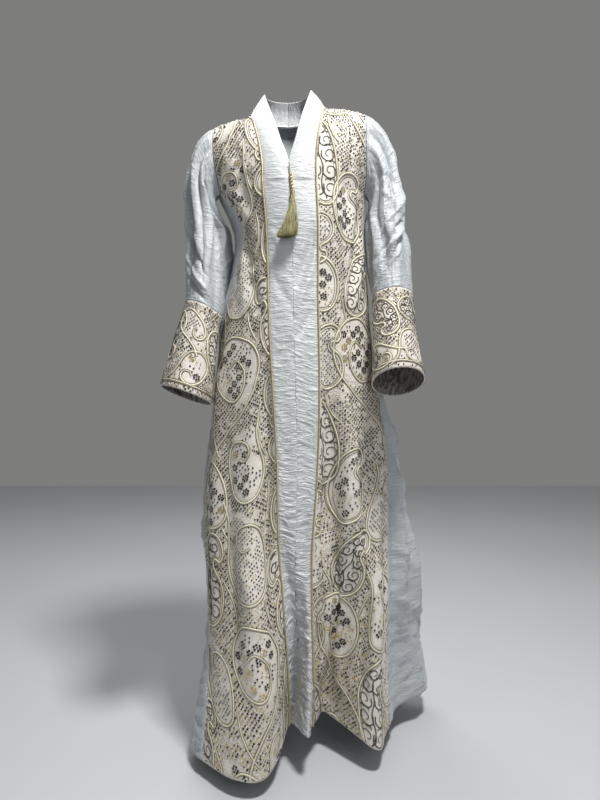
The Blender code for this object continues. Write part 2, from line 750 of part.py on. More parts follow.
def add_tassel(name, top, bottom, out):
    """A bound head with square strands that grow from its underside and spread as they fall."""
    down = unit(bottom - top)
    strand_length = np.linalg.norm(bottom - top) - TASSEL_HEAD_LENGTH
    beside = unit(np.cross(down, out))
    bm = bmesh.new()
    cells = TASSEL_GRID
    corners = {}
    for i in range(cells + 1):
        for j in range(cells + 1):
            x, y = 2 * i / cells - 1, 2 * j / cells - 1
            reach = max(abs(x), abs(y)) / max(math.hypot(x, y), 1e-9)
            corners[i, j] = (x * reach, y * reach)
    head_bottom = top + down * TASSEL_HEAD_LENGTH

    def head_point(corner, at, radius):
        return at + (beside * corner[0] + out * corner[1]) * radius

    base = {}
    for cell, corner in corners.items():
        base[cell] = bm.verts.new(head_point(corner, head_bottom, TASSEL_HEAD_RADIUS))
    cell_faces = []
    for i in range(cells):
        for j in range(cells):
            ring = (base[i, j], base[i + 1, j], base[i + 1, j + 1], base[i, j + 1])
            cell_faces.append((bm.faces.new(ring), (i + 0.5) * 2 / cells - 1, (j + 0.5) * 2 / cells - 1))
    rim = [(i, 0) for i in range(cells)] + [(cells, j) for j in range(cells)]
    rim += [(i, cells) for i in range(cells, 0, -1)] + [(0, j) for j in range(cells, 0, -1)]
    levels = ((0.75, 1.05), (0.35, 0.85), (0.0, 0.45))
    rings = [[base[c] for c in rim]]
    for share, width in levels:
        at = top + down * TASSEL_HEAD_LENGTH * share
        rings.append([bm.verts.new(head_point(corners[c], at, TASSEL_HEAD_RADIUS * width)) for c in rim])
    for low, high in zip(rings, rings[1:]):
        for j in range(len(rim)):
            k = (j + 1) % len(rim)
            bm.faces.new((low[j], high[j], high[k], low[k]))
    bm.faces.new(rings[-1])
    for face, x, y in cell_faces:
        bmesh.ops.inset_individual(bm, faces=[face], thickness=TASSEL_HEAD_RADIUS * 0.035)
        for step in range(1, TASSEL_STEPS + 1):
            share = step / TASSEL_STEPS
            grown = bmesh.ops.extrude_discrete_faces(bm, faces=[face])
            face = grown["faces"][0]
            spread = 1 + (TASSEL_SPREAD - 1) * share**1.3
            fall = strand_length * share * (1 - 0.05 * (x * x + y * y) * share)
            aside = x * TASSEL_HEAD_RADIUS * spread * 0.9 + TASSEL_SWING * share**2
            lifted = y + (y + 1) * (spread - 1) * TASSEL_FLATNESS
            centre = head_bottom + down * fall + beside * aside
            centre = centre + out * lifted * TASSEL_HEAD_RADIUS * 0.9
            middle = face.calc_center_median()
            for v in face.verts:
                v.co = v.co - middle + type(v.co)(centre)
    points = [tuple(v.co) for v in bm.verts]
    bm.verts.index_update()
    faces = [[v.index for v in f.verts] for f in bm.faces]
    bm.free()
    return add_mesh(name, "tassel", points, faces)


def shoulder_normals(row):
    """Normals along a shoulder seam, square to the seam and to the front-to-back direction."""
    across = np.cross(np.gradient(row, axis=0), np.array([0.0, 1.0, 0.0]))
    return unit(across * np.sign(across[:, 2:3]))


def collar_normals(tail):
    """Normals of the band where it stands round the back of the neck, away from the neck."""
    normals = grid_normals(tail, tail)
    away = (tail - np.array([NECK_SHIFT, 0.0, 0.0])) * np.array([1.0, 1.0, 0.0])
    return normals * np.sign(np.sum(normals * away, axis=-1, keepdims=True))


def front_sheets(lower, ring_normals, chest, bands, starts):
    """The embroidered panels and the two halves of the centre band."""
    sheets = {}
    for side, first, panel, band in (("right", 1, 1, 2), ("left", 3, 4, 3)):
        columns = np.arange(starts[first], starts[first + 2] + 1)
        panel_first = panel < band
        parts = [chest[side], bands[side][: CHEST_ROWS + 1]]
        parts = parts if panel_first else parts[::-1]
        upper = np.concatenate([parts[0][:, :-1], parts[1]], axis=1)
        points = np.concatenate([lower[:-1, columns], upper])
        normals = grid_normals(points, np.array([0.0, -1.0, 0.0]) + 0 * points)
        normals[:BODY_ROWS] = ring_normals[:BODY_ROWS, columns]
        seam = FRONT_COLUMNS if panel_first else BAND_COLUMNS
        near, far = slice(0, seam + 1), slice(seam, None)
        own, other = (near, far) if panel_first else (far, near)
        tail = bands[side][CHEST_ROWS:]
        tail_normals = collar_normals(tail)
        sheets[f"front_{side}"] = Sheet(
            points[:, own], normals[:, own], EMBROIDERED_CLOTH, "embroidered"
        )
        sheets[f"band_{side}"] = Sheet(
            np.concatenate([points[:-1, other], tail]),
            np.concatenate([normals[:-1, other], tail_normals]),
            PLAIN_CLOTH,
            "plain",
        )
        sheets[f"front_{side}"].normals[-1] = shoulder_normals(points[-1, own])
    return sheets


def body_sheets(lower, chest, bands, starts):
    ring_normals = grid_normals(lower, away_from_axis(lower), closed=True)
    sheets = front_sheets(lower, ring_normals, chest, bands, starts)
    for name, index in (("side_right", 0), ("side_left", 5)):
        columns = np.arange(starts[index], starts[index + 1] + 1)
        sheets[name] = Sheet(lower[:, columns], ring_normals[:, columns], PLAIN_CLOTH, "plain")
    columns = np.append(np.arange(starts[6], starts[7]), 0)
    points = np.concatenate([lower[:-1, columns], back_grid(lower, chest, bands)])
    normals = grid_normals(points, np.array([0.0, 1.0, 0.0]) + 0 * points)
    normals[:BODY_ROWS] = ring_normals[:BODY_ROWS, columns]
    normals[-1] = shoulder_normals(points[-1])
    sheets["back"] = Sheet(points, normals, PLAIN_CLOTH, "plain")
    return sheets


def join_neck(sheets):
    """Mitre the centre seams of the band, and the collar to the back neckline and shoulders."""
    right, left, back = sheets["band_right"], sheets["band_left"], sheets["back"]
    low = np.arange(BODY_ROWS, BODY_ROWS + V_ROW + 1)
    mitre(right, (low, -1), left, (low, 0))
    outer = np.arange(BAND_COLUMNS + 1)
    mitre(right, (-1, outer), left, (-1, outer[::-1]))
    shoulder = (BACK_COLUMNS - 2 * NECK_ROWS) // 2
    ridge = BODY_ROWS + CHEST_ROWS
    for band, edge, columns in (
        (left, -1, shoulder + np.arange(NECK_ROWS + 1)),
        (right, 0, BACK_COLUMNS - shoulder - np.arange(NECK_ROWS + 1)),
    ):
        mitre(band, (ridge + np.arange(NECK_ROWS + 1), edge), back, (-1, columns))
    middle = unit(back.normals[-1, BACK_COLUMNS // 2] * np.array([0.0, 1.0, 1.0]))
    for sheet, at in ((right, (-1, 0)), (left, (-1, -1)), (back, (-1, BACK_COLUMNS // 2))):
        lean_on(sheet, at, middle)
    for side, edge, column in (("left", 0, shoulder), ("right", -1, BACK_COLUMNS - shoulder)):
        half = sheets["back"].normals[-1, column] * np.array([1.0, 0.0, 1.0])
        band, front = sheets[f"band_{side}"], sheets[f"front_{side}"]
        lean_on(band, (ridge, -1 if side == "left" else 0), unit(half))
        lean_on(front, (-1, edge), unit(half))
        lean_on(back, (-1, column), unit(half))


def armhole_edges(sheets, side):
    """Index pairs that run down the front edge of the armhole, along the underarm and up the
    back edge, without repeating a corner."""
    up = np.arange(BODY_ROWS, BODY_ROWS + CHEST_ROWS + 1)
    across = np.arange(SIDE_COLUMNS + 1)
    right = side == "right"
    return (
        (f"front_{side}", up[::-1], np.full(len(up), 0 if right else FRONT_COLUMNS)),
        (f"side_{side}", np.full(len(across), BODY_ROWS), across[::-1] if right else across),
        ("back", up, np.full(len(up), BACK_COLUMNS if right else 0)),
    )


def joint_normals(body, sleeve, corners, crossing):
    """Normals shared by body and sleeve round an armhole, halfway between the two. At a corner,
    where a third piece ends, they keep square to the way that crosses its seam."""
    half = unit(body + sleeve)
    for corner, way in zip(corners, crossing):
        way = unit(way)
        half[corner] = unit(half[corner] - way * (half[corner] @ way))
    return half / np.maximum(np.sum(half * body, axis=-1, keepdims=True), 0.45)


def sleeve_sheets(sheets):
    """Both sleeves and cuffs. The walls round each armhole are turned to meet the sleeve's."""
    made = {}
    plans = (
        ("right", -1, RIGHT_SLEEVE, RIGHT_SLEEVE_FOLDS),
        ("left", 1, LEFT_SLEEVE, LEFT_SLEEVE_FOLDS),
    )
    for name, side, table, folds in plans:
        edges = armhole_edges(sheets, name)
        front, under, rear = [(sheets[n].points[r, c], sheets[n].normals[r, c]) for n, r, c in edges]
        loop, own = [
            np.concatenate([front[i], under[i][1:-1], rear[i][:-1]]) for i in (0, 1)
        ]
        sleeve = sleeve_grid(loop, table, folds, side)
        cuff = cuff_grid(loop, table, folds, side)
        normals = grid_normals(sleeve, away_from_axis(sleeve), closed=True)
        corners = (0, len(front[0]) - 1, len(front[0]) + len(under[0]) - 2)
        crossing = (np.array([0.0, 1.0, 0.0]), under[0][1] - under[0][0], under[0][-1] - under[0][-2])
        normals[0] = joint_normals(unit(own), normals[0], corners, crossing)
        around = np.concatenate([normals[0], normals[0, :1]])
        start = 0
        for sheet_name, rows, columns in edges:
            sheets[sheet_name].normals[rows, columns] = around[start : start + len(rows)]
            start += len(rows) - 1
        made[f"sleeve_{name}"] = Sheet(sleeve, normals, PLAIN_CLOTH, "plain", closed=True)
        cuff_normals = grid_normals(cuff, away_from_axis(cuff), closed=True)
        made[f"cuff_{name}"] = Sheet(
            cuff, cuff_normals, EMBROIDERED_CLOTH, "embroidered", closed=True
        )
    return made


def main():
    for obj in list(bpy.data.objects):
        bpy.data.objects.remove(obj)

    lower = body_grid()
    starts = np.cumsum([0] + [count for _, _, count in PANEL_EDGES])
    chest = {
        "right": chest_grid(lower, -1, starts[1]),
        "left": chest_grid(lower, 1, starts[4]),
    }
    bands = {
        "right": band_grid(lower, chest["right"], -1, starts[2]),
        "left": band_grid(lower, chest["left"], 1, starts[3]),
    }
    sheets = body_sheets(lower, chest, bands, starts)
    join_neck(sheets)
    sheets.update(sleeve_sheets(sheets))

    top = BODY_ROWS + CHEST_ROWS + 1
    for side, panel_column, band_column, panel_step in (("right", -1, 0, -1), ("left", 0, -1, 1)):
        panel, band = sheets[f"front_{side}"], sheets[f"band_{side}"]
        seam = panel.points[:, panel_column]
        add_piping(
            f"piping_{side}",
            seam,
            panel.points[:, panel_column + panel_step],
            band.points[:top, band_column - panel_step],
            unit(panel.normals[:, panel_column]),
        )

    for side in ("right", "left"):
        sheets[f"front_{side}"].points[-1, :, 1] -= SEAM_GAP / 2
    sheets["back"].points[-1, :, 1] += SEAM_GAP / 2
    sheets["band_right"].points[-1, :, 0] -= SEAM_GAP / 2
    sheets["band_left"].points[-1, :, 0] += SEAM_GAP / 2
    for name, sheet in sheets.items():
        add_wall(name, sheet)
    add_hanger(sheets["band_left"].points[: BODY_ROWS + V_ROW + 1, 0])


def lay_on(seam, top, bottom, clearance):
    """Ends of a straight line between two heights that clears the seam in front of the chest."""
    heights = np.linspace(top, bottom, 25) - SHOULDER_HEIGHT
    near = np.array([[np.interp(z, seam[:, 2], seam[:, i]) for i in range(3)] for z in heights])
    share = np.linspace(0, 1, len(heights))
    chord = near[0, 1] * (1 - share) + near[-1, 1] * share
    ahead = max(0.0, float((chord - near[:, 1]).max())) + clearance
    offset = np.array([0.0, -ahead, 0.0])
    return near[0] + offset, near[-1] + offset


def add_hanger(seam):
    """The bead string from the foot of the V neck and the tassel below it."""
    out = np.array([0.0, -1.0, 0.0])
    top, low = lay_on(seam, HANGER_TOP, TASSEL_TOP, BEAD_RADIUS + SEAM_GAP)
    swing = np.array([HANGER_SWING, 0.0, 0.0])
    add_bead_string("bead_string", top, low + swing)
    head = TASSEL_HEAD_RADIUS * 1.05 + SEAM_GAP
    top, low = lay_on(seam, TASSEL_TOP - SEAM_GAP, TASSEL_END, head)
    add_tassel("tassel", top + swing, low + swing, out)


main()
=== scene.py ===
# %% [markdown]
# An abaya, dressed for the camera. It hangs from its two shoulders as if in use, the skirt swings
# to its left, and everything inside it is empty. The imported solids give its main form. Here every
# cloth piece is drawn again from the same named sizes, but far finer, so that it can carry
# creases, and then gets its fabric, its embroidery, its sequins, its gold piping and its beaded
# tassel.

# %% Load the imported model
import json
import math

import bpy
import numpy as np
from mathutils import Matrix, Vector, kdtree

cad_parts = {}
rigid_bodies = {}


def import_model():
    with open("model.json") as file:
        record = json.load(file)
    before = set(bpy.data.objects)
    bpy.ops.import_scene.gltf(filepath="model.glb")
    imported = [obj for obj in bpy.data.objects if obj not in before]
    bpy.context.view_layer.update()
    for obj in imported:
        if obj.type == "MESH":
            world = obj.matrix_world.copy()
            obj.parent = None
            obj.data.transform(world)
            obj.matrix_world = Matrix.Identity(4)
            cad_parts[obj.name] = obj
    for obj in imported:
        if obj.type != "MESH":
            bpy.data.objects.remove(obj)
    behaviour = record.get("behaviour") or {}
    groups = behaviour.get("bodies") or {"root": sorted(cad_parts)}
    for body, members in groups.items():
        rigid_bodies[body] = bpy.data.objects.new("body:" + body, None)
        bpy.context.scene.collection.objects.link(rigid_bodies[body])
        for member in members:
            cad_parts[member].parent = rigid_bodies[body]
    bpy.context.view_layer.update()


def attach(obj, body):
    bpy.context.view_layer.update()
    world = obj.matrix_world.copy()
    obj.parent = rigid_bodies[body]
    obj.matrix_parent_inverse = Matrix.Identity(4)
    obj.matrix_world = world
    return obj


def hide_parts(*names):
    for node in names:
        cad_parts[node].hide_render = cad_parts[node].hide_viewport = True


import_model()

# %% [markdown]
# Heights in the tables are above the floor. SHOULDER_HEIGHT takes them into the frame, whose
# origin is midway between the tops of the shoulders. The front faces -Y and the garment's left
# is +X. The tables hold the numbers the solids were made from, so the cloth lies on its solid.

# %% Driving sizes
SHOULDER_HEIGHT = 1.430
UNDERARM_HEIGHT = 1.235
HEM_HEIGHT = 0.062
PLAIN_CLOTH = 0.0014
EMBROIDERED_CLOTH = 0.0020
PIPING_RADIUS = 0.0017
NECK_LIFT = 0.023
COLLAR_LIFT = 0.010
SHOULDER_LIFT = 0.034
NECK_SHIFT = -0.004
UP = np.array([0.0, 0.0, 1.0])
SIDES = {"right": -1, "left": 1}


def blend(first, last, share):
    """From first to last as the share runs from 0 to 1."""
    return first * (1 - share) + last * share


def swept(first, last, leave, arrive, t):
    """From first to last as t runs from 0 to 1, leaving and arriving with the given speeds."""
    rise = (1 + 2 * t) * (1 - t) ** 2 * first + t * t * (3 - 2 * t) * last
    return rise + t * (1 - t) ** 2 * leave - t * t * (1 - t) * arrive


class Table:
    """Rows of named columns, read on a smooth curve through the values of the first column.
    They are lengths in millimetres, but for the starred ones: steps, shares and degrees."""

    def __init__(self, names, *rows):
        names = names.split()
        self.names = [name.strip("*") for name in names]
        self.rows = np.array(rows) / [1 if name.endswith("*") else 1000 for name in names]

    def read(self, name, place):
        """The column at a place along the first column, held level past both ends."""
        x = self.rows[:, 0]
        y = self.rows[:, self.names.index(name)]
        slope = np.gradient(y, x)
        place = np.clip(place, x[0], x[-1])
        i = np.clip(np.searchsorted(x, place, side="right") - 1, 0, len(x) - 2)
        span = x[i + 1] - x[i]
        t = (place - x[i]) / span
        return swept(y[i], y[i + 1], span * slope[i], span * slope[i + 1], t)

    def at(self, place):
        """Every column at a place."""
        return {name: self.read(name, place) for name in self.names[1:]}


print(f"from the floor to the shoulders: {SHOULDER_HEIGHT} m, to the hem: {HEM_HEIGHT} m")

# %% The body's sections, seams, hem and folds
# Horizontal sections of the body: where the middle lies, the half width, the depth in front of
# the middle and behind it, and how far the section is turned by the stride, in degrees.
SECTIONS = Table(
    "height across forward half front back turn*",
    (30, 68, -6, 300, 172, 190, 28),
    (200, 63, -6, 264, 165, 180, 25),
    (350, 63, -4, 254, 158, 172, 20),
    (500, 40, -2, 233, 150, 162, 14),
    (650, 31, 0, 215, 143, 152, 8),
    (800, 20, 0, 191, 137, 142, 4),
    (950, 17, 0, 169, 130, 122, 0),
    (1060, 22, 0, 156, 124, 104, 0),
    (1150, 22, 0, 150, 128, 100, 0),
    (1235, 6, 0, 170, 124, 104, 0),
)

# Front seams by how far across they show from the front, and the side seams by their bearing:
# 0 is the front, 90 the left, -90 the right, in degrees.
SEAMS = Table(
    "height piping_right piping_left outer_left outer_right* side_right* side_left*",
    (30, 0, 50, 226, -77, -128, 92),
    (200, -2, 51, 221, -84, -126, 94),
    (350, -11, 50, 219, -92, -120, 96),
    (500, -18, 56, 221, -94, -114, 98),
    (650, -23, 62, 219, -92, -108, 98),
    (800, -33, 64.5, 200, -89, -102, 96),
    (920, -40, 63.5, 186, -82, -98, 94),
    (1000, -43, 62.5, 180, -73, -95, 92),
    (1080, -45, 62.5, 173, -61, -92, 90),
    (1150, -48, 62, 168, -56, -90, 90),
    (1235, -55, 58.5, 170, -72, -90, 90),
)

# How high the hem hangs above the floor, round the body by bearing.
HEM = Table(
    "bearing* height",
    (-180, 58), (-150, 55), (-125, 42), (-100, 32), (-80, 34), (-55, 36), (-40, 40), (-33, 60),
    (-29, 82), (-24, 90), (-17, 78), (-5, 84), (1, 70), (7, 50), (18, 48), (38, 58), (60, 66),
    (95, 72), (125, 68), (155, 60), (180, 58),
)

# Folds of the skirt: bearing at the hem and at the top end, the height of that end, how far the
# cloth stands out (or in, below 0), half its width in degrees, how far its crest leans left.
# The lengths are in millimetres here too.
FOLDS = np.array((
    (-50, -44, 860, 36, 15, 12), (-30, -24, 620, -92, 7, 6), (-15, -9, 620, -60, 8, 0),
    (-24, -14, 500, 50, 4, 0), (-5, 15, 800, -88, 7, -4), (7, 31, 860, 34, 6, -10),
    (38, 48, 760, -52, 20, 0), (90, 86, 700, 18, 10, 0), (108, 112, 820, -26, 9, 0),
    (128, 130, 900, 26, 10, 8), (148, 150, 840, -28, 9, 0), (168, 166, 920, 26, 10, -6),
    (190, 188, 800, -30, 9, 0), (212, 208, 900, 26, 10, 6), (232, 230, 820, -12, 10, 0),
)) / (1, 1, 1000, 1000, 1, 1000)
print("sections of the body:", len(SECTIONS.rows), "folds of the skirt:", len(FOLDS))

# %% The neck, the armholes and the sleeves
# The right half of the centre band above the underarm, up the V neck and round to the centre of
# the back. The left half is its mirror, lifted with the left shoulder.
NECK_SHOULDER = 5.0
NECK_BACK = 8.0
BAND = Table(
    "step* outer_across outer_forward outer_height inner_across inner_forward inner_height",
    (0, 57.5, -115, 1235, 0, -123.5, 1235),
    (1, 58, -112, 1279, 0, -117, 1279),
    (2, 64, -101, 1330, 15.5, -104, 1330),
    (3, 75, -77, 1378, 27.5, -82, 1378),
    (4, 84.5, -42, 1404, 42, -50, 1428),
    (5, 89, 0, 1415.5, 53.5, -8, 1474),
    (6, 80, 40, 1426, 52, 28, 1482),
    (7, 48, 66, 1424, 32, 54, 1484),
    (8, 0, 74, 1422, 0, 63, 1484),
)

# Edges of the right armhole from the underarm, at 0, to the shoulder point, at 1.
ARMHOLE = Table(
    "share* across front back height",
    (0, 164, -40, 0, 1235),
    (0.2, 168, -56, 43, 1268),
    (0.5, 171, -60, 60, 1322),
    (0.8, 172.5, -42, 48, 1378),
    (1, 173, 0, 0, 1396),
)

# Sections of each sleeve and of its cuff, from the top down: the middle of the ring, its half
# width and half depth, how far its outer side and its front are tipped up, and how far its front
# is turned in towards the body, in degrees.
SLEEVE_NAMES = "step* across forward height half_width half_depth side_tip* front_tip* turn*"
CUFF_STEP = 3.0
RIGHT_SLEEVE = Table(
    SLEEVE_NAMES,
    (0, -188, -6, 1165, 43.5, 64, 16, 0, 0),
    (1, -188, -14, 1110, 44, 66, 16, 2, 4),
    (2, -192.5, -22, 1050, 44.5, 68, 18, 4, 8),
    (3, -195, -36, 972, 42, 68, 22, 6, 12),
    (4, -206, -52, 908, 47, 70, 22, 8, 13),
    (5, -216.5, -64, 842, 53, 75, 20, 8, 14),
    (6, -226, -74, 778, 58.5, 81, 19, 9, 14),
)
LEFT_SLEEVE = Table(
    SLEEVE_NAMES,
    (0, 222, -10, 1180, 40, 66, 6, 2, 0),
    (1, 226, -22, 1125, 41, 67, 6, 6, 4),
    (2, 229, -36, 1070, 44, 68, 6, 10, 8),
    (3, 231, -58, 998, 44, 68, 4, 8, 12),
    (4, 230, -82, 934, 45, 70, 4, 14, 13),
    (5, 231, -104, 869, 49, 75, 5, 19, 13),
    (6, 233, -122, 806, 56, 81, 5, 21, 13),
)

# Long folds of the sleeves: bearing round the tube (0 is the outer side, 90 the front), the steps
# where the fold starts and ends, its depth and half its width in degrees.
RIGHT_SLEEVE_FOLDS = (
    (52, -1.0, 3.0, -0.008, 16),
    (84, -1.0, 3.2, 0.006, 16),
    (128, -0.6, 3.6, -0.013, 14),
    (190, -0.8, 3.4, 0.018, 30),
    (285, -0.8, 3.0, -0.008, 18),
)
LEFT_SLEEVE_FOLDS = (
    (38, -1.0, 3.0, -0.007, 15),
    (70, -1.0, 3.4, 0.006, 14),
    (104, -1.0, 2.6, -0.008, 14),
    (186, -0.8, 2.9, 0.016, 30),
    (290, -0.8, 3.0, -0.008, 18),
)
print("sections of each sleeve and its cuff:", len(RIGHT_SLEEVE.rows))


# %% [markdown]
# The body below the underarm is a stack of rings. Each ring is an oval that the table sizes and
# turns, because the skirt swings as in a stride, and the folds push it in and out. A loop over
# heights and bearings gives every point, so one function decides where the cloth is.

# %% The body's rings
UNDERARM_ROW = 208
CHEST_FINE_ROWS = 44
CHEST_STEPS = (0, 0.5, 1.0, 1.6, 2.3, 3.0, 3.7, 4.2, 4.65, 5.0)
STEPS = np.interp(np.linspace(0, 9, CHEST_FINE_ROWS + 1), np.arange(10), CHEST_STEPS)
BAND_COLUMNS = 26
FRONT_COLUMNS = 66
SIDE_COLUMNS = 30
SHOULDER_COLUMNS = 25
NECK_COLUMNS = 30
BACK_COLUMNS = 2 * (SHOULDER_COLUMNS + NECK_COLUMNS)


def smooth_step(t):
    """0 to 1 with level ends."""
    t = np.clip(t, 0.0, 1.0)
    return t * t * (3 - 2 * t)


def unit(vectors):
    return vectors / np.maximum(np.linalg.norm(vectors, axis=-1, keepdims=True), 1e-12)


def place(across, forward, height):
    """Table values as a point of the frame."""
    return np.stack(np.broadcast_arrays(across, forward, height - SHOULDER_HEIGHT), axis=-1)


def bump(degrees, half_width):
    """A rounded ridge over an angle, 1 at its crest, wrapped round the circle."""
    degrees = (degrees + 180) % 360 - 180
    return np.exp(-((degrees / half_width) ** 2))


def ring_point(bearing, height):
    """A point of the skirt or bodice below the underarm, folds included."""
    angle = np.radians(bearing)
    section = SECTIONS.at(height)
    half = section["half"]
    depth = np.where(np.cos(angle) > 0, section["front"], section["back"])
    side, fore = half * np.sin(angle), -depth * np.cos(angle)
    out_side, out_fore = depth * np.sin(angle), -half * np.cos(angle)
    size = np.hypot(out_side, out_fore)
    out_side, out_fore = out_side / size, out_fore / size
    for hem_bearing, top_bearing, top_height, depth_out, half_width, lean in FOLDS:
        fall = np.clip((top_height - height) / (top_height - HEM_HEIGHT), 0, 1)
        crest = hem_bearing + (top_bearing - hem_bearing) * (1 - fall)
        shape = bump(bearing - crest, half_width) * smooth_step(fall) * fall**0.3
        side = side + shape * (depth_out * out_side - lean * out_fore)
        fore = fore + shape * (depth_out * out_fore + lean * out_side)
    turn = np.radians(section["turn"])
    across = section["across"] + side * np.cos(turn) - fore * np.sin(turn)
    forward = section["forward"] + side * np.sin(turn) + fore * np.cos(turn)
    return place(across, forward, height)


print("the right side of the hem:", ring_point(-90, HEM_HEIGHT).round(3))

# %% Where the seams run


def bearing_at(across, height, way, limit):
    """The first bearing from the middle, towards the right (-1) or the left (1), where the ring
    has gone this far across. The search ends limit degrees from the middle."""
    middle = (SEAMS.read("piping_right", height) + SEAMS.read("piping_left", height)) / 2
    tried = np.linspace(-60, 60, 601)
    points = ring_point(tried, height)[:, 0]
    start = int(np.argmin(np.abs(points - middle) + 0.0004 * np.abs(tried + 12)))
    count = int(limit / (tried[1] - tried[0]))
    bearings = tried[start] + way * np.linspace(0, limit, count)
    gone = way * (ring_point(bearings, height)[:, 0] - across)
    past = np.nonzero(gone >= 0)[0]
    if not len(past):
        return float(bearings[-1])
    first = past[0]
    if first == 0:
        return float(bearings[0])
    share = -gone[first - 1] / (gone[first] - gone[first - 1])
    return float(bearings[first - 1] + share * (bearings[first] - bearings[first - 1]))


PANEL_EDGES = (
    ("side_right", "outer_right", SIDE_COLUMNS),
    ("outer_right", "piping_right", FRONT_COLUMNS),
    ("piping_right", "centre", BAND_COLUMNS),
    ("centre", "piping_left", BAND_COLUMNS),
    ("piping_left", "outer_left", FRONT_COLUMNS),
    ("outer_left", "side_left", SIDE_COLUMNS),
    ("side_left", "side_right", BACK_COLUMNS),
)
STARTS = np.cumsum([0] + [count for _, _, count in PANEL_EDGES])


def seam_bearings(height):
    """Bearings of the centre seam and of each seam from it to the left and right side seams."""
    seams = {name: float(value) for name, value in SEAMS.at(height).items()}
    searched = ("piping_right", -1, 40), ("piping_left", 1, 40), ("outer_left", 1, 88)
    for name, way, limit in searched:
        seams[name] = bearing_at(seams[name], height, way, limit)
    seams["centre"] = (seams["piping_right"] + seams["piping_left"]) / 2
    return seams


print("columns of points round the body:", int(STARTS[-1]))

# %% The grid of the lower body


def length_along(points):
    """How far along a line each of its points is."""
    return np.concatenate([[0], np.cumsum(np.linalg.norm(np.diff(points, axis=0), axis=1))])


def read_line(at, places, points):
    """Points of a line whose own points lie at the places given."""
    return np.stack([np.interp(at, places, column) for column in points.T], axis=-1)


def spread_evenly(first, last, height, count):
    """Bearings from first to last, without the last, at even distances along the cloth."""
    tried = np.linspace(first, last, 241)
    along = length_along(ring_point(tried, height))
    return np.interp(np.linspace(0, along[-1], count, endpoint=False), along, tried)


def smoothed(values, passes):
    """A column of values evened out along its length, ends kept."""
    values = np.array(values, float)
    for _ in range(passes):
        values[1:-1] = 0.25 * values[:-2] + 0.5 * values[1:-1] + 0.25 * values[2:]
    return values


def body_grid():
    """Points of the closed lower body, a row for each height and a column for each bearing."""
    shares = np.linspace(0, 1, UNDERARM_ROW + 1)
    heights = HEM_HEIGHT + shares * (UNDERARM_HEIGHT - HEM_HEIGHT)
    found = [seam_bearings(height) for height in heights]
    seams = {name: smoothed([f[name] for f in found], 12) for name in found[0]}
    rows = []
    for i, height in enumerate(heights):
        columns = []
        for start, end, count in PANEL_EDGES:
            first, last = seams[start][i], seams[end][i]
            last += 360 if last < first else 0
            columns.append(spread_evenly(first, last, height, count))
        bearings = np.concatenate(columns)
        hem = HEM.read("height", (bearings + 180) % 360 - 180)
        rows.append(ring_point(bearings, blend(hem, UNDERARM_HEIGHT, shares[i])))
    return np.array(rows)


LOWER = body_grid()


def top_row(panel):
    """The lower body's last row across one panel, counted from the right side seam."""
    return LOWER[-1, STARTS[panel] : STARTS[panel + 1] + 1]


print("rings:", LOWER.shape[0], "points round each:", LOWER.shape[1])

# %% [markdown]
# Above the underarm each panel is a sheet between two edges: the piping seam or neckline on one
# side and the armhole on the other. The edges come from tables. The rows between them start with
# the chest's own curve and turn it upward as they climb over the shoulder.

# %% The edges of the yoke
NECK_ROWS = 30


def band_point(which, step, side):
    """The outer or inner edge of the centre band on one side, -1 for right and 1 for left."""
    climb = smooth_step(step / NECK_SHOULDER)
    round_back = smooth_step((step - NECK_SHOULDER) / (NECK_BACK - NECK_SHOULDER))
    full = NECK_LIFT if which == "outer" else COLLAR_LIFT
    lift = full * (climb * (side > 0) * (1 - round_back) + round_back / 2)
    edge = BAND.at(step)
    across = side * max(float(edge[f"{which}_across"]), 0.0) + NECK_SHIFT * climb
    return place(across, edge[f"{which}_forward"], edge[f"{which}_height"] + lift)


def armhole_point(edge, share, side):
    lift = SHOULDER_LIFT * smooth_step(share) if side > 0 else 0.0
    across = side * ARMHOLE.read("across", share)
    return place(across, ARMHOLE.read(edge, share), ARMHOLE.read("height", share) + lift)


def eased(start_row, table_points, shares):
    """Table points moved so that the first lies on the start and the change fades out upward."""
    fade = (1 - smooth_step(np.asarray(shares) / 0.6))[:, None]
    return table_points + fade * (start_row - table_points[0])


shoulder = band_point("outer", NECK_SHOULDER, 1)
print("the left shoulder's neck end:", shoulder.round(3))

# %% The chest and the band
BAND_BULGE = 0.004


def crossed(inner, outer, flat_row, columns):
    """Rows from inner to outer edge. The first row is flat_row, and its bulge turns from
    forward to upward as the rows climb over the shoulder."""
    share = np.linspace(0, 1, columns + 1)[:, None]
    first = blend(inner[0], outer[0], share)
    bulge = np.linalg.norm(flat_row - first, axis=1)[:, None]
    direction = unit(np.sum(flat_row - first, axis=0))
    rows = [flat_row]
    for i in range(1, len(inner)):
        climb = i / (len(inner) - 1)
        turn = math.radians(85) * smooth_step(climb)
        way = unit(direction * math.cos(turn) + UP * math.sin(turn))
        flattened = 1 - 0.92 * smooth_step(climb)
        rows.append(blend(inner[i], outer[i], share) + bulge * way * flattened)
    return np.array(rows)


def chest_grid(side):
    """The front panel above the underarm, columns from the right to the left."""
    top = top_row(1 if side < 0 else 4)
    near, far = (top[0], top[-1])[::side]
    shares = STEPS / NECK_SHOULDER
    piping = eased(near, np.array([band_point("outer", s, side) for s in STEPS]), shares)
    armhole = eased(far, np.array([armhole_point("front", s, side) for s in shares]), shares)
    return crossed(*(piping, armhole)[::side], top, FRONT_COLUMNS)


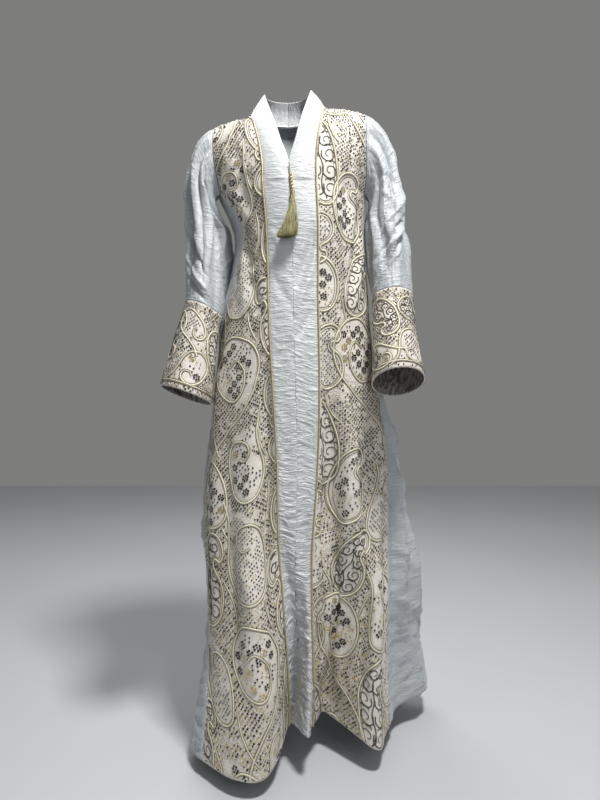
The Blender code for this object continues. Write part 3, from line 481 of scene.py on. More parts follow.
def band_grid(chest, side):
    """One half of the centre band from the underarm to the centre back."""
    top = top_row(2 if side < 0 else 3)
    steps = np.concatenate([STEPS, np.linspace(NECK_SHOULDER, NECK_BACK, NECK_ROWS + 1)[1:]])
    outer = [band_point("outer", s, side) for s in steps]
    outer[: len(STEPS)] = list(chest[:, 0 if side > 0 else -1])
    inner = np.array([band_point("inner", s, side) for s in steps])
    inner = eased(top[0] if side > 0 else top[-1], inner, steps / NECK_SHOULDER)
    share = np.linspace(0, 1, BAND_COLUMNS + 1)[:, None]
    rows = [top[::side]]
    for i in range(1, len(steps)):
        straight = blend(inner[i], outer[i], share)
        out = unit(np.array([*straight[0, :2], 0.02]))
        rows.append(straight + BAND_BULGE * np.sin(math.pi * share) * out)
    return np.array(rows)[:, ::side]


CHEST = {name: chest_grid(side) for name, side in SIDES.items()}
BANDS = {name: band_grid(CHEST[name], side) for name, side in SIDES.items()}
print("rows over the chest:", len(STEPS), "and up the band:", len(BANDS["left"]))

# %% The back


def between_edges(row, left_back, right_back, amount):
    """The row spread again between the places where it lies as far back as the armhole edges."""
    last = len(row) - 1
    places = np.linspace(0, last / 2, 200)
    depths = np.interp(places, np.arange(len(row)), row[:, 1])
    first = np.interp(left_back, depths, places) * amount
    depths = np.interp(last - places, np.arange(len(row)), row[:, 1])
    final = last - np.interp(right_back, depths, places) * amount
    at = np.linspace(first, final, len(row))
    return read_line(at, np.arange(len(row)), row)


def back_grid(chest, bands):
    """The back above the underarm, from the left side seam to the right one."""
    top = np.concatenate([LOWER[-1, -BACK_COLUMNS:], LOWER[-1, :1]])
    shares = STEPS / NECK_SHOULDER
    left = eased(top[0], np.array([armhole_point("back", s, 1) for s in shares]), shares)
    right = eased(top[-1], np.array([armhole_point("back", s, -1) for s in shares]), shares)
    at = np.linspace(0, FRONT_COLUMNS, SHOULDER_COLUMNS + 1)[:-1]
    columns = np.arange(FRONT_COLUMNS + 1)
    yoke = CHEST_FINE_ROWS
    neckline = np.concatenate([bands["left"][yoke:, -1], bands["right"][yoke:, 0][::-1][1:]])
    left_crown = read_line(at, columns, chest["left"][-1, ::-1])
    right_crown = read_line(at, columns, chest["right"][-1])[::-1]
    crown = np.concatenate([left_crown, neckline, right_crown])
    across = np.linspace(0, 1, BACK_COLUMNS + 1)[:, None]
    near_left = 1 - smooth_step(across / 0.3)
    near_right = 1 - smooth_step((1 - across) / 0.3)
    rows = [top]
    for i in range(1, len(shares)):
        climb = shares[i]
        crowned = climb**1.6
        base = between_edges(top, left[i][1], right[i][1], 1 - crowned)
        level = blend(base, crown, crowned)
        level[:, 2] = top[:, 2] + (crown[:, 2] - top[:, 2]) * climb
        hollow = math.sqrt(max(0.0, 1 - climb**3))
        level[:, 1] = crown[:, 1] + (base[:, 1] - crown[:, 1]) * hollow
        rows.append(level + near_left * (left[i] - level[0]) + near_right * (right[i] - level[-1]))
    rows[-1] = crown
    return np.array(rows)


BACK = back_grid(CHEST, BANDS)
print("rows and columns of the back:", BACK.shape[:2])

# %% [markdown]
# A sleeve is a tube of rings. It starts on the armhole's own loop, swings over the cap in a
# smooth curve and then follows the rings of its table to the cuff.

# %% Sleeves and cuffs
CAP_ROWS = 22
SLEEVE_ROWS = 44
CUFF_ROWS = 46


def sleeve_ring(table, folds, step, bearings, side):
    """One ring of a sleeve or cuff at bearings round it: 0 is the outer side, 90 the front."""
    angle = np.radians(bearings)
    ring = table.at(step)
    half_depth = ring["half_depth"]
    swell = 1.0
    for bearing, start, end, depth, width in folds:
        along = np.clip((step - start) / (end - start), 0, 1)
        share = depth / half_depth * np.sin(math.pi * along) ** 0.7
        swell = swell + share * bump(bearings - bearing, width)
    out = ring["half_width"] * np.cos(angle) * swell
    fore = -half_depth * np.sin(angle) * swell
    side_tip, front_tip, turn = (math.radians(ring[n]) for n in ("side_tip", "front_tip", "turn"))
    out, fore = (
        out * math.cos(turn) + fore * math.sin(turn),
        fore * math.cos(turn) - out * math.sin(turn),
    )
    rise = out * math.sin(side_tip) - fore * math.sin(front_tip)
    return place(
        ring["across"] + side * out * math.cos(side_tip),
        ring["forward"] + fore * math.cos(front_tip),
        ring["height"] + rise,
    )


def armhole_loop(side):
    """Down the front edge of the armhole, along the underarm and up the back edge."""
    if side < 0:
        front, under, rear = CHEST["right"][::-1, 0], top_row(0)[::-1], BACK[:, -1]
    else:
        front, under, rear = CHEST["left"][::-1, -1], top_row(5), BACK[:, 0]
    return np.concatenate([front, under[1:-1], rear[:-1]])


def even_loop(loop, count):
    """The loop spread again into evenly spaced points, and their bearings round the sleeve."""
    closed = np.concatenate([loop, loop[:1]])
    along = length_along(closed)
    at = np.linspace(0, along[-1], count, endpoint=False)
    return read_line(at, along, closed), 360 * at / along[-1]


SLEEVE_COLUMNS = 96


def sleeve_grids(table, folds, side):
    """Rows of the sleeve from the armhole to the cuff seam, and rows of the cuff."""
    loop, bearings = even_loop(armhole_loop(side), SLEEVE_COLUMNS)
    target = sleeve_ring(table, folds, 0.0, bearings, side)
    below = sleeve_ring(table, folds, 0.4, bearings, side)
    reach = np.linalg.norm(target - loop, axis=1)[:, None]
    leave = unit(np.array([side * 0.90, 0.0, -0.43])) * reach
    arrive = unit(below - target) * reach
    cap = np.linspace(0, 1, CAP_ROWS + 1)[:-1]
    rows = [swept(loop, target, leave, arrive, t) for t in cap]
    for step in np.linspace(0, CUFF_STEP, SLEEVE_ROWS + 1):
        rows.append(sleeve_ring(table, folds, step, bearings, side))
    cuff_steps = np.linspace(CUFF_STEP, table.rows[-1, 0], CUFF_ROWS + 1)
    cuff = [sleeve_ring(table, folds, step, bearings, side) for step in cuff_steps]
    return np.array(rows), np.array(cuff)


SLEEVES = {
    "right": sleeve_grids(RIGHT_SLEEVE, RIGHT_SLEEVE_FOLDS, -1),
    "left": sleeve_grids(LEFT_SLEEVE, LEFT_SLEEVE_FOLDS, 1),
}
print("rings of a sleeve and of its cuff:", [len(grid) for grid in SLEEVES["right"]])


# %% [markdown]
# Real cloth is cut flat, and its weave, its creases and its embroidery follow the flat piece, not
# the room. So each panel keeps flat coordinates in metres: u across and v up, measured along the
# cloth itself. The UV map holds the same numbers, which keeps every stitch its true size.

# %% A cloth panel and its flat coordinates


def on_curve(before, first, second, after, t):
    """The smooth curve through four points, from the second one to the third."""
    return 0.5 * (
        2 * first
        + (second - before) * t
        + (2 * before - 5 * first + 4 * second - after) * t**2
        + (3 * first - before - 3 * second + after) * t**3
    )


def finer(points, rows, columns):
    """The grid with this many times the rows and columns, on smooth curves through the points."""
    for axis, times in ((0, rows), (1, columns)):
        if times == 1:
            continue
        grid = np.moveaxis(points, axis, 0)
        last = len(grid) - 1
        at = np.linspace(0, last, int(round(last * times)) + 1)
        i = np.minimum(at.astype(int), last - 1)
        t = (at - i)[:, None, None]
        ends = grid[np.maximum(i - 1, 0)], grid[i], grid[i + 1], grid[np.minimum(i + 2, last)]
        points = np.moveaxis(on_curve(*ends, t), 0, axis)
    return points


class Panel:
    """A piece of cloth as rows and columns of points, with outward normals and flat u and v."""

    def __init__(
        self, name, points, closed=False, anchor="first", fixed=("first", "last"), times=(1, 1)
    ):
        self.name = name
        self.closed = closed
        self.fixed = fixed
        points = np.concatenate([points, points[:, :1]], axis=1) if closed else points
        self.points = finer(points, *times)
        self.u = np.array([length_along(row) for row in self.points])
        self.width = self.u[:, -1].copy()
        self.girth = float(self.width.mean())
        up = np.linalg.norm(np.diff(self.points, axis=0), axis=2).mean(axis=1)
        self.v = np.concatenate([[0], np.cumsum(up)])
        middle = self.points.mean(axis=1, keepdims=True)
        self.rough = self.points - middle if closed else self.points - np.array([0.0, 0.02, -0.5])
        if anchor == "last":
            self.u = self.u - self.width[:, None]
        if anchor == "middle":
            self.u = self.u - self.width[:, None] / 2
        self.find_normals()

    def find_normals(self):
        up = np.gradient(self.points, axis=0)
        around = np.gradient(self.points, axis=1)
        if self.closed:
            wrap = (self.points[:, 1] - self.points[:, -2]) / 2
            around[:, 0] = wrap
            around[:, -1] = wrap
        normals = unit(np.cross(around, up))
        rough = self.rough * np.array([1.0, 1.0, 0.25])
        self.flip = np.sum(normals * unit(rough)) < 0
        self.normals = -normals if self.flip else normals

    def share(self):
        """How far across the panel each point is, 0 to 1."""
        return (self.u - self.u[:, :1]) / self.width[:, None]

    def held(self, reach):
        """1 on free cloth, falling to 0 at the seams that hold it."""
        inward = {
            "first": self.u - self.u[:, :1], "last": self.u[:, -1:] - self.u,
            "bottom": self.v[:, None], "top": (self.v[-1] - self.v)[:, None],
        }
        hold = np.ones_like(self.u)
        for edge in self.fixed:
            hold = hold * smooth_step(inward[edge] / reach)
        return hold

    def raise_by(self, amount):
        self.points = self.points + self.normals * amount[..., None]
        if self.closed:
            self.points[:, -1] = self.points[:, 0]
        self.find_normals()

    def at(self, u, v):
        """Places and normals for flat coordinates, and which of them are on the panel. On a tube
        every row counts as its mean girth, so that a pattern closes on itself."""
        u, v = np.atleast_1d(u).astype(float), np.atleast_1d(v).astype(float)
        rows, columns = self.u.shape
        row = np.interp(v, self.v, np.arange(rows))
        r = np.clip(row.astype(int), 0, rows - 2)
        f = (row - r)[:, None]
        lines = blend(self.u[r], self.u[r + 1], f)
        if self.closed:
            lines = lines * self.girth / lines[:, -1:]
            u = u % self.girth
        inside = (u >= lines[:, 0]) & (u <= lines[:, -1]) & (v >= 0) & (v <= self.v[-1])
        c = np.clip((lines <= u[:, None]).sum(axis=1) - 1, 0, columns - 2)
        pick = np.arange(len(u))
        g = ((u - lines[pick, c]) / (lines[pick, c + 1] - lines[pick, c]))[:, None]
        g = np.clip(g, 0, 1)
        found = []
        for field in (self.points, self.normals):
            low = blend(field[r, c], field[r, c + 1], g)
            high = blend(field[r + 1, c], field[r + 1, c + 1], g)
            found.append(blend(low, high, f))
        return found[0], unit(found[1]), inside


print("a panel keeps its points, its normals and its flat u and v")

# %% All the panels


def cut_from(panel, above=None):
    """The lower body's points across one panel, and the rows above the underarm."""
    low = LOWER[:, np.arange(STARTS[panel], STARTS[panel + 1] + 1) % LOWER.shape[1]]
    return low if above is None else np.concatenate([low, above[1:]])


def all_panels():
    """Every panel with the edges that hold it. Plain cloth gets a finer grid than the solid's."""
    made = []
    around = ("first", "last", "top")
    for side, front, band in (("right", 1, 2), ("left", 4, 3)):
        inner, outer = ("last", "first") if side == "right" else ("first", "last")
        points = cut_from(front, CHEST[side])
        made.append(Panel(f"front_{side}", points, anchor=inner, fixed=around))
        points = cut_from(band, BANDS[side])
        made.append(Panel(f"band_{side}", points, anchor=outer, fixed=(outer,), times=(2.0, 1.4)))
    for side, flank in (("right", 0), ("left", 5)):
        made.append(Panel(f"side_{side}", cut_from(flank), fixed=around))
        sleeve, cuff = SLEEVES[side]
        held = ("bottom", "top")
        made.append(Panel(f"sleeve_{side}", sleeve, closed=True, fixed=held, times=(1.8, 1.5)))
        made.append(Panel(f"cuff_{side}", cuff, closed=True, fixed=("bottom",)))
    made.append(Panel("back", cut_from(6, BACK), anchor="middle", fixed=around))
    return {panel.name: panel for panel in made}


PANELS = all_panels()
CUTS = {}
for panel in PANELS.values():
    area = float(((panel.width[:-1] + panel.width[1:]) / 2 * np.diff(panel.v)).sum())
    CUTS[panel.name] = (float(panel.width.max()), float(panel.v[-1]), area)
    widths = f"{panel.width.min():.3f} to {panel.width.max():.3f}"
    print(f"{panel.name}: {widths} m wide, {panel.v[-1]:.3f} m long, {area:.3f} m2")

# %% [markdown]
# Silk in use holds creases: long soft ones where it hangs, short sharp ones where a seam or a
# bend of the sleeve pulls it, and a crinkle all over. The long ones are listed one row each.
# The crinkle is smooth noise, stretched along the weft, the same on every run.

# %% Crinkle
noise_table = np.random.default_rng(11).random((64, 64))


def noise(x, y):
    """Smooth noise from 0 to 1 that repeats every 64 units."""
    i, j = np.floor(x).astype(int), np.floor(y).astype(int)
    f, g = smooth_step(x - i), smooth_step(y - j)
    corner = [[noise_table[a % 64, b % 64] for a in (i, i + 1)] for b in (j, j + 1)]
    return blend(blend(*corner[0], f), blend(*corner[1], f), g)


def crinkle(u, v, length, pitch, seed):
    """Uneven creases that run across the cloth, about -1 to 1: their length and their spacing."""
    drift = 0.6 * noise(u / (2.1 * length) + seed, v / (5 * pitch) + 3)
    first = noise(u / length + 7 * seed, v / pitch + 2.4 * drift)
    second = noise(u / (0.45 * length) + 3 * seed, v / (0.5 * pitch) + 3.1 * drift + 17)
    ridged = 1 - np.abs(2 * first - 1) ** 0.8
    return 1.1 * (ridged - 0.45) + 0.7 * (second - 0.5)


print("the crinkle at one place:", round(float(crinkle(0.1, 0.2, 0.03, 0.01, 1)), 3))

# %% Placed creases


def add_creases(panel, rows):
    """How far the placed creases lift each point of a panel."""
    height = panel.points[:, :, 2].mean(axis=1) + SHOULDER_HEIGHT
    order = np.argsort(height)
    total = np.zeros_like(panel.u)
    for share_a, height_a, share_b, height_b, depth, half_width in np.array(rows) / CREASE_UNITS:
        ends = []
        for share, level in ((share_a, height_a), (share_b, height_b)):
            v = np.interp(level, height[order], panel.v[order])
            width = np.interp(v, panel.v, panel.width)
            start = np.interp(v, panel.v, panel.u[:, 0])
            ends.append(np.array([start + share * width, v]))
        run = ends[1] - ends[0]
        long = np.linalg.norm(run)
        run = run / long
        du, dv = panel.u - ends[0][0], panel.v[:, None] - ends[0][1]
        if panel.closed:
            half = panel.width[:, None] / 2
            du = (du + half) % (2 * half) - half
        along = du * run[0] + dv * run[1]
        bend = 0.25 * half_width * np.sin(along / long * 5.0 + 40 * depth)
        aside = du * run[1] - dv * run[0] + bend
        fade = np.clip(along / long, 0, 1)
        fade = np.sin(math.pi * fade) ** 0.5 * (along > 0) * (along < long)
        total += depth * np.exp(-((aside / half_width) ** 2)) * fade
    return total


# One row for each crease: where it starts, in hundredths of the width across and millimetres
# above the floor, where it ends, how far it stands out (or in, below 0) and half its width, in
# millimetres.
CREASE_UNITS = (100, 1000, 100, 1000, 1000, 1000)
CREASES = {
    "front_right": (
        (6, 1235, 62, 1050, -9, 13), (10, 1270, 74, 1120, 4, 12), (5, 1160, 50, 980, 4, 12),
        (30, 1070, 90, 930, -4, 12), (40, 1340, 55, 1190, -3, 14), (91, 860, 85, 180, -8, 15),
        (70, 780, 66, 120, 6, 20), (46, 700, 50, 130, -6, 18), (22, 850, 24, 160, 5, 20),
        (8, 560, 12, 100, -4, 14), (60, 430, 72, 300, 3, 12), (34, 980, 20, 720, 3, 16),
    ),
    "front_left": (
        (60, 1300, 44, 1080, -4, 14), (86, 1220, 50, 1010, -6, 13), (90, 1150, 56, 960, 4, 12),
        (22, 1140, 30, 920, 3, 16), (12, 900, 16, 90, -16, 17), (33, 800, 38, 120, 9, 18),
        (57, 680, 58, 150, -7, 16), (76, 820, 74, 140, 5, 18), (90, 600, 88, 160, -4, 14),
        (45, 520, 20, 430, 3, 10), (40, 400, 16, 320, -3, 10), (30, 980, 64, 860, -3, 14),
    ),
    "side_left": (
        (16, 980, 14, 240, -6, 12), (38, 900, 36, 160, 6, 15), (60, 940, 57, 220, -7, 14),
        (82, 840, 79, 180, 5, 14), (4, 740, 56, 640, 4, 9), (4, 690, 62, 560, -4, 9),
        (6, 620, 70, 500, 4, 10), (5, 560, 50, 470, -3, 8), (10, 440, 66, 370, 3, 10),
        (10, 330, 80, 250, 3, 12),
    ),
    "side_right": (
        (22, 960, 24, 200, -5, 13), (50, 1040, 46, 340, 6, 14), (76, 900, 72, 180, -6, 13),
        (30, 520, 84, 440, 3, 10), (20, 360, 70, 280, -3, 10),
    ),
    "back": (
        (22, 1380, 34, 1100, 5, 15), (78, 1360, 66, 1060, 5, 15), (40, 1400, 44, 1180, -4, 16),
        (60, 1400, 57, 1200, -4, 16), (6, 1250, 30, 1060, -7, 13), (94, 1250, 70, 1080, -7, 13),
        (5, 1190, 26, 990, 5, 12), (95, 1200, 76, 1010, 5, 12), (28, 1040, 60, 950, 4, 12),
        (34, 980, 72, 870, -4, 12), (46, 1160, 50, 780, 5, 20), (56, 1120, 60, 840, -4, 14),
        (18, 900, 16, 260, 7, 18), (28, 800, 25, 200, -6, 15), (36, 860, 36, 160, 5, 16),
        (46, 760, 45, 140, -7, 17), (55, 840, 56, 220, 7, 19), (66, 740, 67, 160, -5, 15),
        (75, 880, 78, 200, 6, 17), (88, 820, 89, 180, -6, 16), (8, 700, 7, 220, -5, 14),
    ),
    "sleeve_right": (
        (4, 1370, 5, 1020, 5, 10), (9, 1360, 12, 1000, -7, 9), (14, 1380, 18, 1080, 6, 9),
        (20, 1350, 22, 1010, -7, 8), (25, 1340, 28, 1060, 6, 9), (31, 1280, 31, 1020, -5, 9),
        (37, 1300, 36, 1060, 4, 9), (24, 1330, 44, 1120, -7, 6), (28, 1260, 46, 1060, 6, 6),
        (32, 1220, 46, 1020, -7, 6), (2, 1240, 22, 1080, 4, 6), (4, 1150, 27, 1030, -5, 6),
        (6, 1080, 30, 985, 5, 5), (4, 1040, 28, 972, -5, 5), (98, 1200, 10, 1020, 3, 7),
        (44, 1180, 48, 1010, -6, 10), (55, 1220, 57, 1020, 4, 12), (64, 1300, 62, 1020, -5, 11),
        (74, 1260, 72, 1000, 5, 12), (84, 1340, 86, 1040, -5, 11), (93, 1300, 92, 1010, 5, 10),
    ),
    "sleeve_left": (
        (3, 1400, 1, 1080, 4, 10), (8, 1400, 6, 1060, -6, 9), (13, 1390, 13, 1120, 6, 9),
        (18, 1370, 18, 1060, -7, 8), (24, 1360, 23, 1080, 6, 9), (30, 1320, 28, 1040, -6, 9),
        (36, 1280, 35, 1080, 4, 9), (10, 1230, 34, 1120, 5, 5), (8, 1190, 36, 1070, -6, 5),
        (10, 1160, 37, 1040, 6, 5), (12, 1130, 38, 1010, -6, 5), (16, 1090, 40, 995, 5, 5),
        (42, 1250, 44, 1010, -8, 7), (32, 1250, 12, 1170, 3, 6), (30, 1290, 14, 1220, -3, 6),
        (44, 1200, 46, 1030, -6, 10), (56, 1240, 58, 1040, 4, 12), (66, 1320, 63, 1050, -5, 11),
        (77, 1280, 75, 1020, 5, 12), (88, 1320, 88, 1060, -5, 11), (96, 1300, 95, 1040, 4, 10),
    ),
    "cuff_right": (
        (20, 970, 22, 800, -3, 14), (40, 980, 38, 820, 3, 14), (60, 970, 62, 800, 5, 16),
        (82, 960, 80, 820, -4, 14),
    ),
    "cuff_left": (
        (18, 970, 16, 820, -3, 14), (38, 980, 36, 840, 3, 14), (58, 970, 60, 820, 5, 16),
        (80, 960, 82, 820, -3, 14),
    ),
    "band_right": (
        (10, 1130, 95, 1060, 3, 9), (20, 1030, 99, 960, -2, 9), (85, 900, 10, 840, -3, 9),
        (70, 700, 62, 240, 2, 14),
    ),
    "band_left": (
        (95, 1150, 15, 1000, -5, 10), (98, 1090, 10, 940, 3, 9), (90, 980, 10, 890, -3, 8),
        (60, 760, 66, 200, -3, 12), (90, 560, 20, 500, 2, 8),
    ),
}

depths = [abs(row[4]) for rows in CREASES.values() for row in rows]
print("creases placed:", len(depths), "of up to", max(depths), "mm")

# %% Creasing the panels
# How strongly each kind of cloth crinkles: depth, length along the weft, spacing up the warp.
CRINKLES = {
    "band": (0.0019, 0.026, 0.0110),
    "side": (0.0026, 0.036, 0.018),
    "back": (0.0014, 0.050, 0.026),
    "sleeve": (0.0014, 0.034, 0.016),
    "front": (0.0011, 0.040, 0.036),
    "cuff": (0.0006, 0.040, 0.040),
}
# How many times deeper the placed creases of a kind are than their rows say.
DEEPER = {"front": 1.35, "side": 2.0, "back": 1.3, "sleeve": 1.2}
# Where the band is sewn to the piping it puckers: depth, length, spacing.
PUCKER = (0.0006, 0.016, 0.008)
HEM_TURNING = 0.022
SEAM_DIP = 0.0009

for index, (name, panel) in enumerate(PANELS.items()):
    kind = name.split("_")[0]
    depth, length, pitch = CRINKLES[kind]
    loose = panel.held(0.012)
    lift = add_creases(panel, CREASES[name]) * loose * DEEPER.get(kind, 1.0)
    u = panel.share() * 64 * length if panel.closed else panel.u
    v = panel.v[:, None] + 0.10 * np.sin(9 * panel.v)[:, None] * np.abs(u)
    if kind in ("band", "side", "back"):
        depth = depth * (1.60 - 1.30 * smooth_step(panel.v / 1.15))[:, None]
    lift = lift + depth * crinkle(u, v, length, pitch, index) * loose
    if kind == "band":
        pucker = PUCKER[0] * (1 - panel.held(0.05))
        lift = lift + pucker * crinkle(u, v, *PUCKER[1:], 5) * panel.held(0.003)
    if kind != "cuff":
        lift = lift - SEAM_DIP * (1 - panel.held(0.004))
    panel.raise_by(lift)
    print(f"{name}: raised by up to {1000 * np.abs(lift).max():.1f} mm")


# %% [markdown]
# A panel becomes a mesh of one sheet, with its flat coordinates as the UV map, and Solidify gives
# it its real thickness inward, so the outer face stays where the grid put it.

# %% From a grid to a cloth mesh


def link(name, mesh):
    made = bpy.data.objects.new(name, mesh)
    bpy.context.scene.collection.objects.link(made)
    return made


def finished(piece):
    """The piece with its modifiers applied as a plain mesh."""
    bpy.context.view_layer.update()
    evaluated = piece.evaluated_get(bpy.context.evaluated_depsgraph_get())
    mesh = bpy.data.meshes.new_from_object(evaluated)
    piece.modifiers.clear()
    piece.data = mesh
    return piece


def cloth(name, panel, thickness, materials, masks=None):
    rows, columns = panel.u.shape
    used = columns - 1 if panel.closed else columns
    points = panel.points[:, :used].reshape(-1, 3)
    i, j = np.meshgrid(np.arange(rows - 1), np.arange(columns - 1), indexing="ij")
    corners = ((0, 0), (0, 1), (1, 1), (1, 0))
    if panel.flip:
        corners = corners[::-1]
    faces = np.stack([(i + a) * used + (j + b) % used for a, b in corners], axis=-1)
    flat = np.stack(
        [np.stack([panel.u[i + a, j + b], panel.v[i + a]], axis=-1) for a, b in corners],
        axis=2,
    )
    mesh = bpy.data.meshes.new(name)
    mesh.from_pydata(points.tolist(), [], faces.reshape(-1, 4).tolist())
    layer = mesh.uv_layers.new(name="flat")
    layer.data.foreach_set("uv", flat.reshape(-1).astype(np.float32))
    for label, values in (masks or {}).items():
        attribute = mesh.attributes.new(label, "FLOAT", "POINT")
        attribute.data.foreach_set("value", values[:, :used].reshape(-1).astype(np.float32))
    mesh.polygons.foreach_set("use_smooth", [True] * len(mesh.polygons))
    for material in materials:
        mesh.materials.append(material)
    piece = link(name, mesh)
    shell = piece.modifiers.new("thickness", "SOLIDIFY")
    shell.thickness = thickness
    shell.offset = -1.0
    shell.use_even_offset = False
    if len(materials) > 1:
        shell.material_offset = 1
    return finished(piece)

# %% [markdown]
# Cords, threads, sequins and stitches all follow the cloth, so Geometry Nodes make them. The
# script lays out only paths and points, with the cloth's normal stored on each. One tree turns
# paths into flat or round cords, a second sets a small shape on every point, and a third spaces
# small shapes along a path.

# %% Helpers for node trees


def feed(tree, node, inputs):
    """Fills inputs of a node: with values, or by links from sockets or a node's first output."""
    for name, value in inputs.items():
        if isinstance(value, bpy.types.Node):
            value = value.outputs[0]
        if isinstance(value, bpy.types.NodeSocket):
            tree.links.new(value, node.inputs[name])
        else:
            node.inputs[name].default_value = value


def put(tree, kind, inputs=None, **settings):
    """A new node with its settings and its inputs."""
    made = tree.nodes.new(kind)
    for setting, value in settings.items():
        setattr(made, setting, value)
    feed(tree, made, inputs or {})
    return made


def new_tree(name, **numbers):
    """A Geometry Nodes tree with a geometry input, number inputs and a material input."""
    tree = bpy.data.node_groups.new(name, "GeometryNodeTree")
    face = tree.interface
    face.new_socket("Geometry", in_out="INPUT", socket_type="NodeSocketGeometry")
    for label, value in numbers.items():
        kind = "NodeSocketInt" if isinstance(value, int) else "NodeSocketFloat"
        face.new_socket(label, in_out="INPUT", socket_type=kind).default_value = value
    face.new_socket("Material", in_out="INPUT", socket_type="NodeSocketMaterial")
    face.new_socket("Geometry", in_out="OUTPUT", socket_type="NodeSocketGeometry")
    return tree, tree.nodes.new("NodeGroupInput").outputs


def end_tree(tree, geometry, given):
    """Realizes the instances, sets the material and closes the tree."""
    real = put(tree, "GeometryNodeRealizeInstances", {"Geometry": geometry})
    smooth = put(tree, "GeometryNodeSetShadeSmooth", {"Geometry": real})
    painted = {"Geometry": smooth, "Material": given["Material"]}
    painted = put(tree, "GeometryNodeSetMaterial", painted)
    put(tree, "NodeGroupOutput", {"Geometry": painted})
    return tree


def named(tree, label, kind="FLOAT"):
    found = put(tree, "GeometryNodeInputNamedAttribute", {"Name": label}, data_type=kind)
    return next(s for s in found.outputs if s.enabled)


def store(tree, geometry, label, value):
    inputs = {"Geometry": geometry, "Name": label, "Value": value}
    settings = {"data_type": "FLOAT", "domain": "POINT"}
    return put(tree, "GeometryNodeStoreNamedAttribute", inputs, **settings)


def laid_curves(tree, given):
    """The mesh's edges as curves that keep the cloth's normal."""
    curve = put(tree, "GeometryNodeMeshToCurve", {"Mesh": given["Geometry"]})
    inputs = {"Curve": curve, "Normal": named(tree, "lie", "FLOAT_VECTOR")}
    return put(tree, "GeometryNodeSetCurveNormal", inputs, mode="FREE")


def set_on(tree, given, shape, inputs):
    """Sets the mesh of an object on every point and ends the tree."""
    mesh = put(tree, "GeometryNodeObjectInfo", {"Object": shape}).outputs["Geometry"]
    placed = put(tree, "GeometryNodeInstanceOnPoints", {"Instance": mesh, **inputs})
    return end_tree(tree, placed, given)


# %% The trees that make cords and set small shapes


def cord_tree():
    tree, given = new_tree("cord", width=0.003, height=0.0015, sides=6)
    curve = laid_curves(tree, given)
    along = put(tree, "GeometryNodeSplineParameter").outputs["Length"]
    thick = {"Curve": store(tree, curve, "along", along), "Radius": named(tree, "size")}
    thick = put(tree, "GeometryNodeSetCurveRadius", thick)
    ring = {"Resolution": given["sides"], "Radius": 0.5}
    ring = put(tree, "GeometryNodeCurvePrimitiveCircle", ring)
    size = put(tree, "ShaderNodeCombineXYZ", {"X": given["height"], "Y": given["width"], "Z": 1.0})
    oval = put(tree, "GeometryNodeTransform", {"Geometry": ring, "Scale": size})
    turn = put(tree, "GeometryNodeSplineParameter").outputs["Factor"]
    profile = store(tree, oval, "around", turn)
    radius = put(tree, "GeometryNodeInputRadius")
    tube = {"Curve": thick, "Profile Curve": profile, "Scale": radius, "Fill Caps": True}
    return end_tree(tree, put(tree, "GeometryNodeCurveToMesh", tube), given)


def scatter_tree(name, shape):
    """Sets one small mesh, from the object given, on every point, along its normal."""
    tree, given = new_tree(name, size=1.0)
    lie = named(tree, "lie", "FLOAT_VECTOR")
    upright = put(tree, "FunctionNodeAlignRotationToVector", {"Vector": lie}, axis="Z")
    spin = {"Axis": (0.0, 0.0, 1.0), "Angle": named(tree, "turn")}
    turned = {"Rotation": upright, "Rotate By": put(tree, "FunctionNodeAxisAngleToRotation", spin)}
    turned = put(tree, "FunctionNodeRotateRotation", turned, rotation_space="LOCAL")
    scale = {0: named(tree, "size"), 1: given["size"]}
    scale = put(tree, "ShaderNodeMath", scale, operation="MULTIPLY")
    inputs = {"Points": given["Geometry"], "Rotation": turned, "Scale": scale}
    return set_on(tree, given, shape, inputs)


STITCH_PITCH = 0.0034


def stitch_tree(shape):
    """Sets one small mesh along each path, a pitch apart and turned along it."""
    tree, given = new_tree("stitches", pitch=STITCH_PITCH)
    inputs = {"Curve": laid_curves(tree, given), "Length": given["pitch"]}
    spaced = put(tree, "GeometryNodeCurveToPoints", inputs, mode="LENGTH").outputs
    inputs = {"Points": spaced["Points"], "Rotation": spaced["Rotation"]}
    return set_on(tree, given, shape, inputs)


CORDS = cord_tree()
print("the cord tree has", len(CORDS.nodes), "nodes")

# %% Meshes of paths and points, and the pieces made from them


def made_by_nodes(name, mesh, tree, material, **numbers):
    """Runs a tree on a mesh of paths or points and keeps the result as a plain mesh."""
    piece = link(name, mesh)
    nodes = piece.modifiers.new("nodes", "NODES")
    nodes.node_group = tree
    for socket in tree.interface.items_tree:
        if socket.in_out != "INPUT" or socket.socket_type == "NodeSocketGeometry":
            continue
        if socket.name == "Material":
            nodes[socket.identifier] = material
        elif socket.name in numbers:
            nodes[socket.identifier] = numbers[socket.name]
    finished(piece)
    print(name, "has", len(piece.data.polygons), "faces")
    return piece


def give(mesh, label, values):
    """Stores a number or a vector for each point."""
    values = np.asarray(values, np.float32)
    kind, field = ("FLOAT_VECTOR", "vector") if values.ndim == 2 else ("FLOAT", "value")
    mesh.attributes.new(label, kind, "POINT").data.foreach_set(field, values.reshape(-1))


def plain_mesh(name, points, edges=(), faces=()):
    """A mesh from arrays or lists of points and edges and a list of faces."""
    mesh = bpy.data.meshes.new(name)
    mesh.from_pydata(*(np.asarray(rows).tolist() for rows in (points, edges)), list(faces))
    return mesh


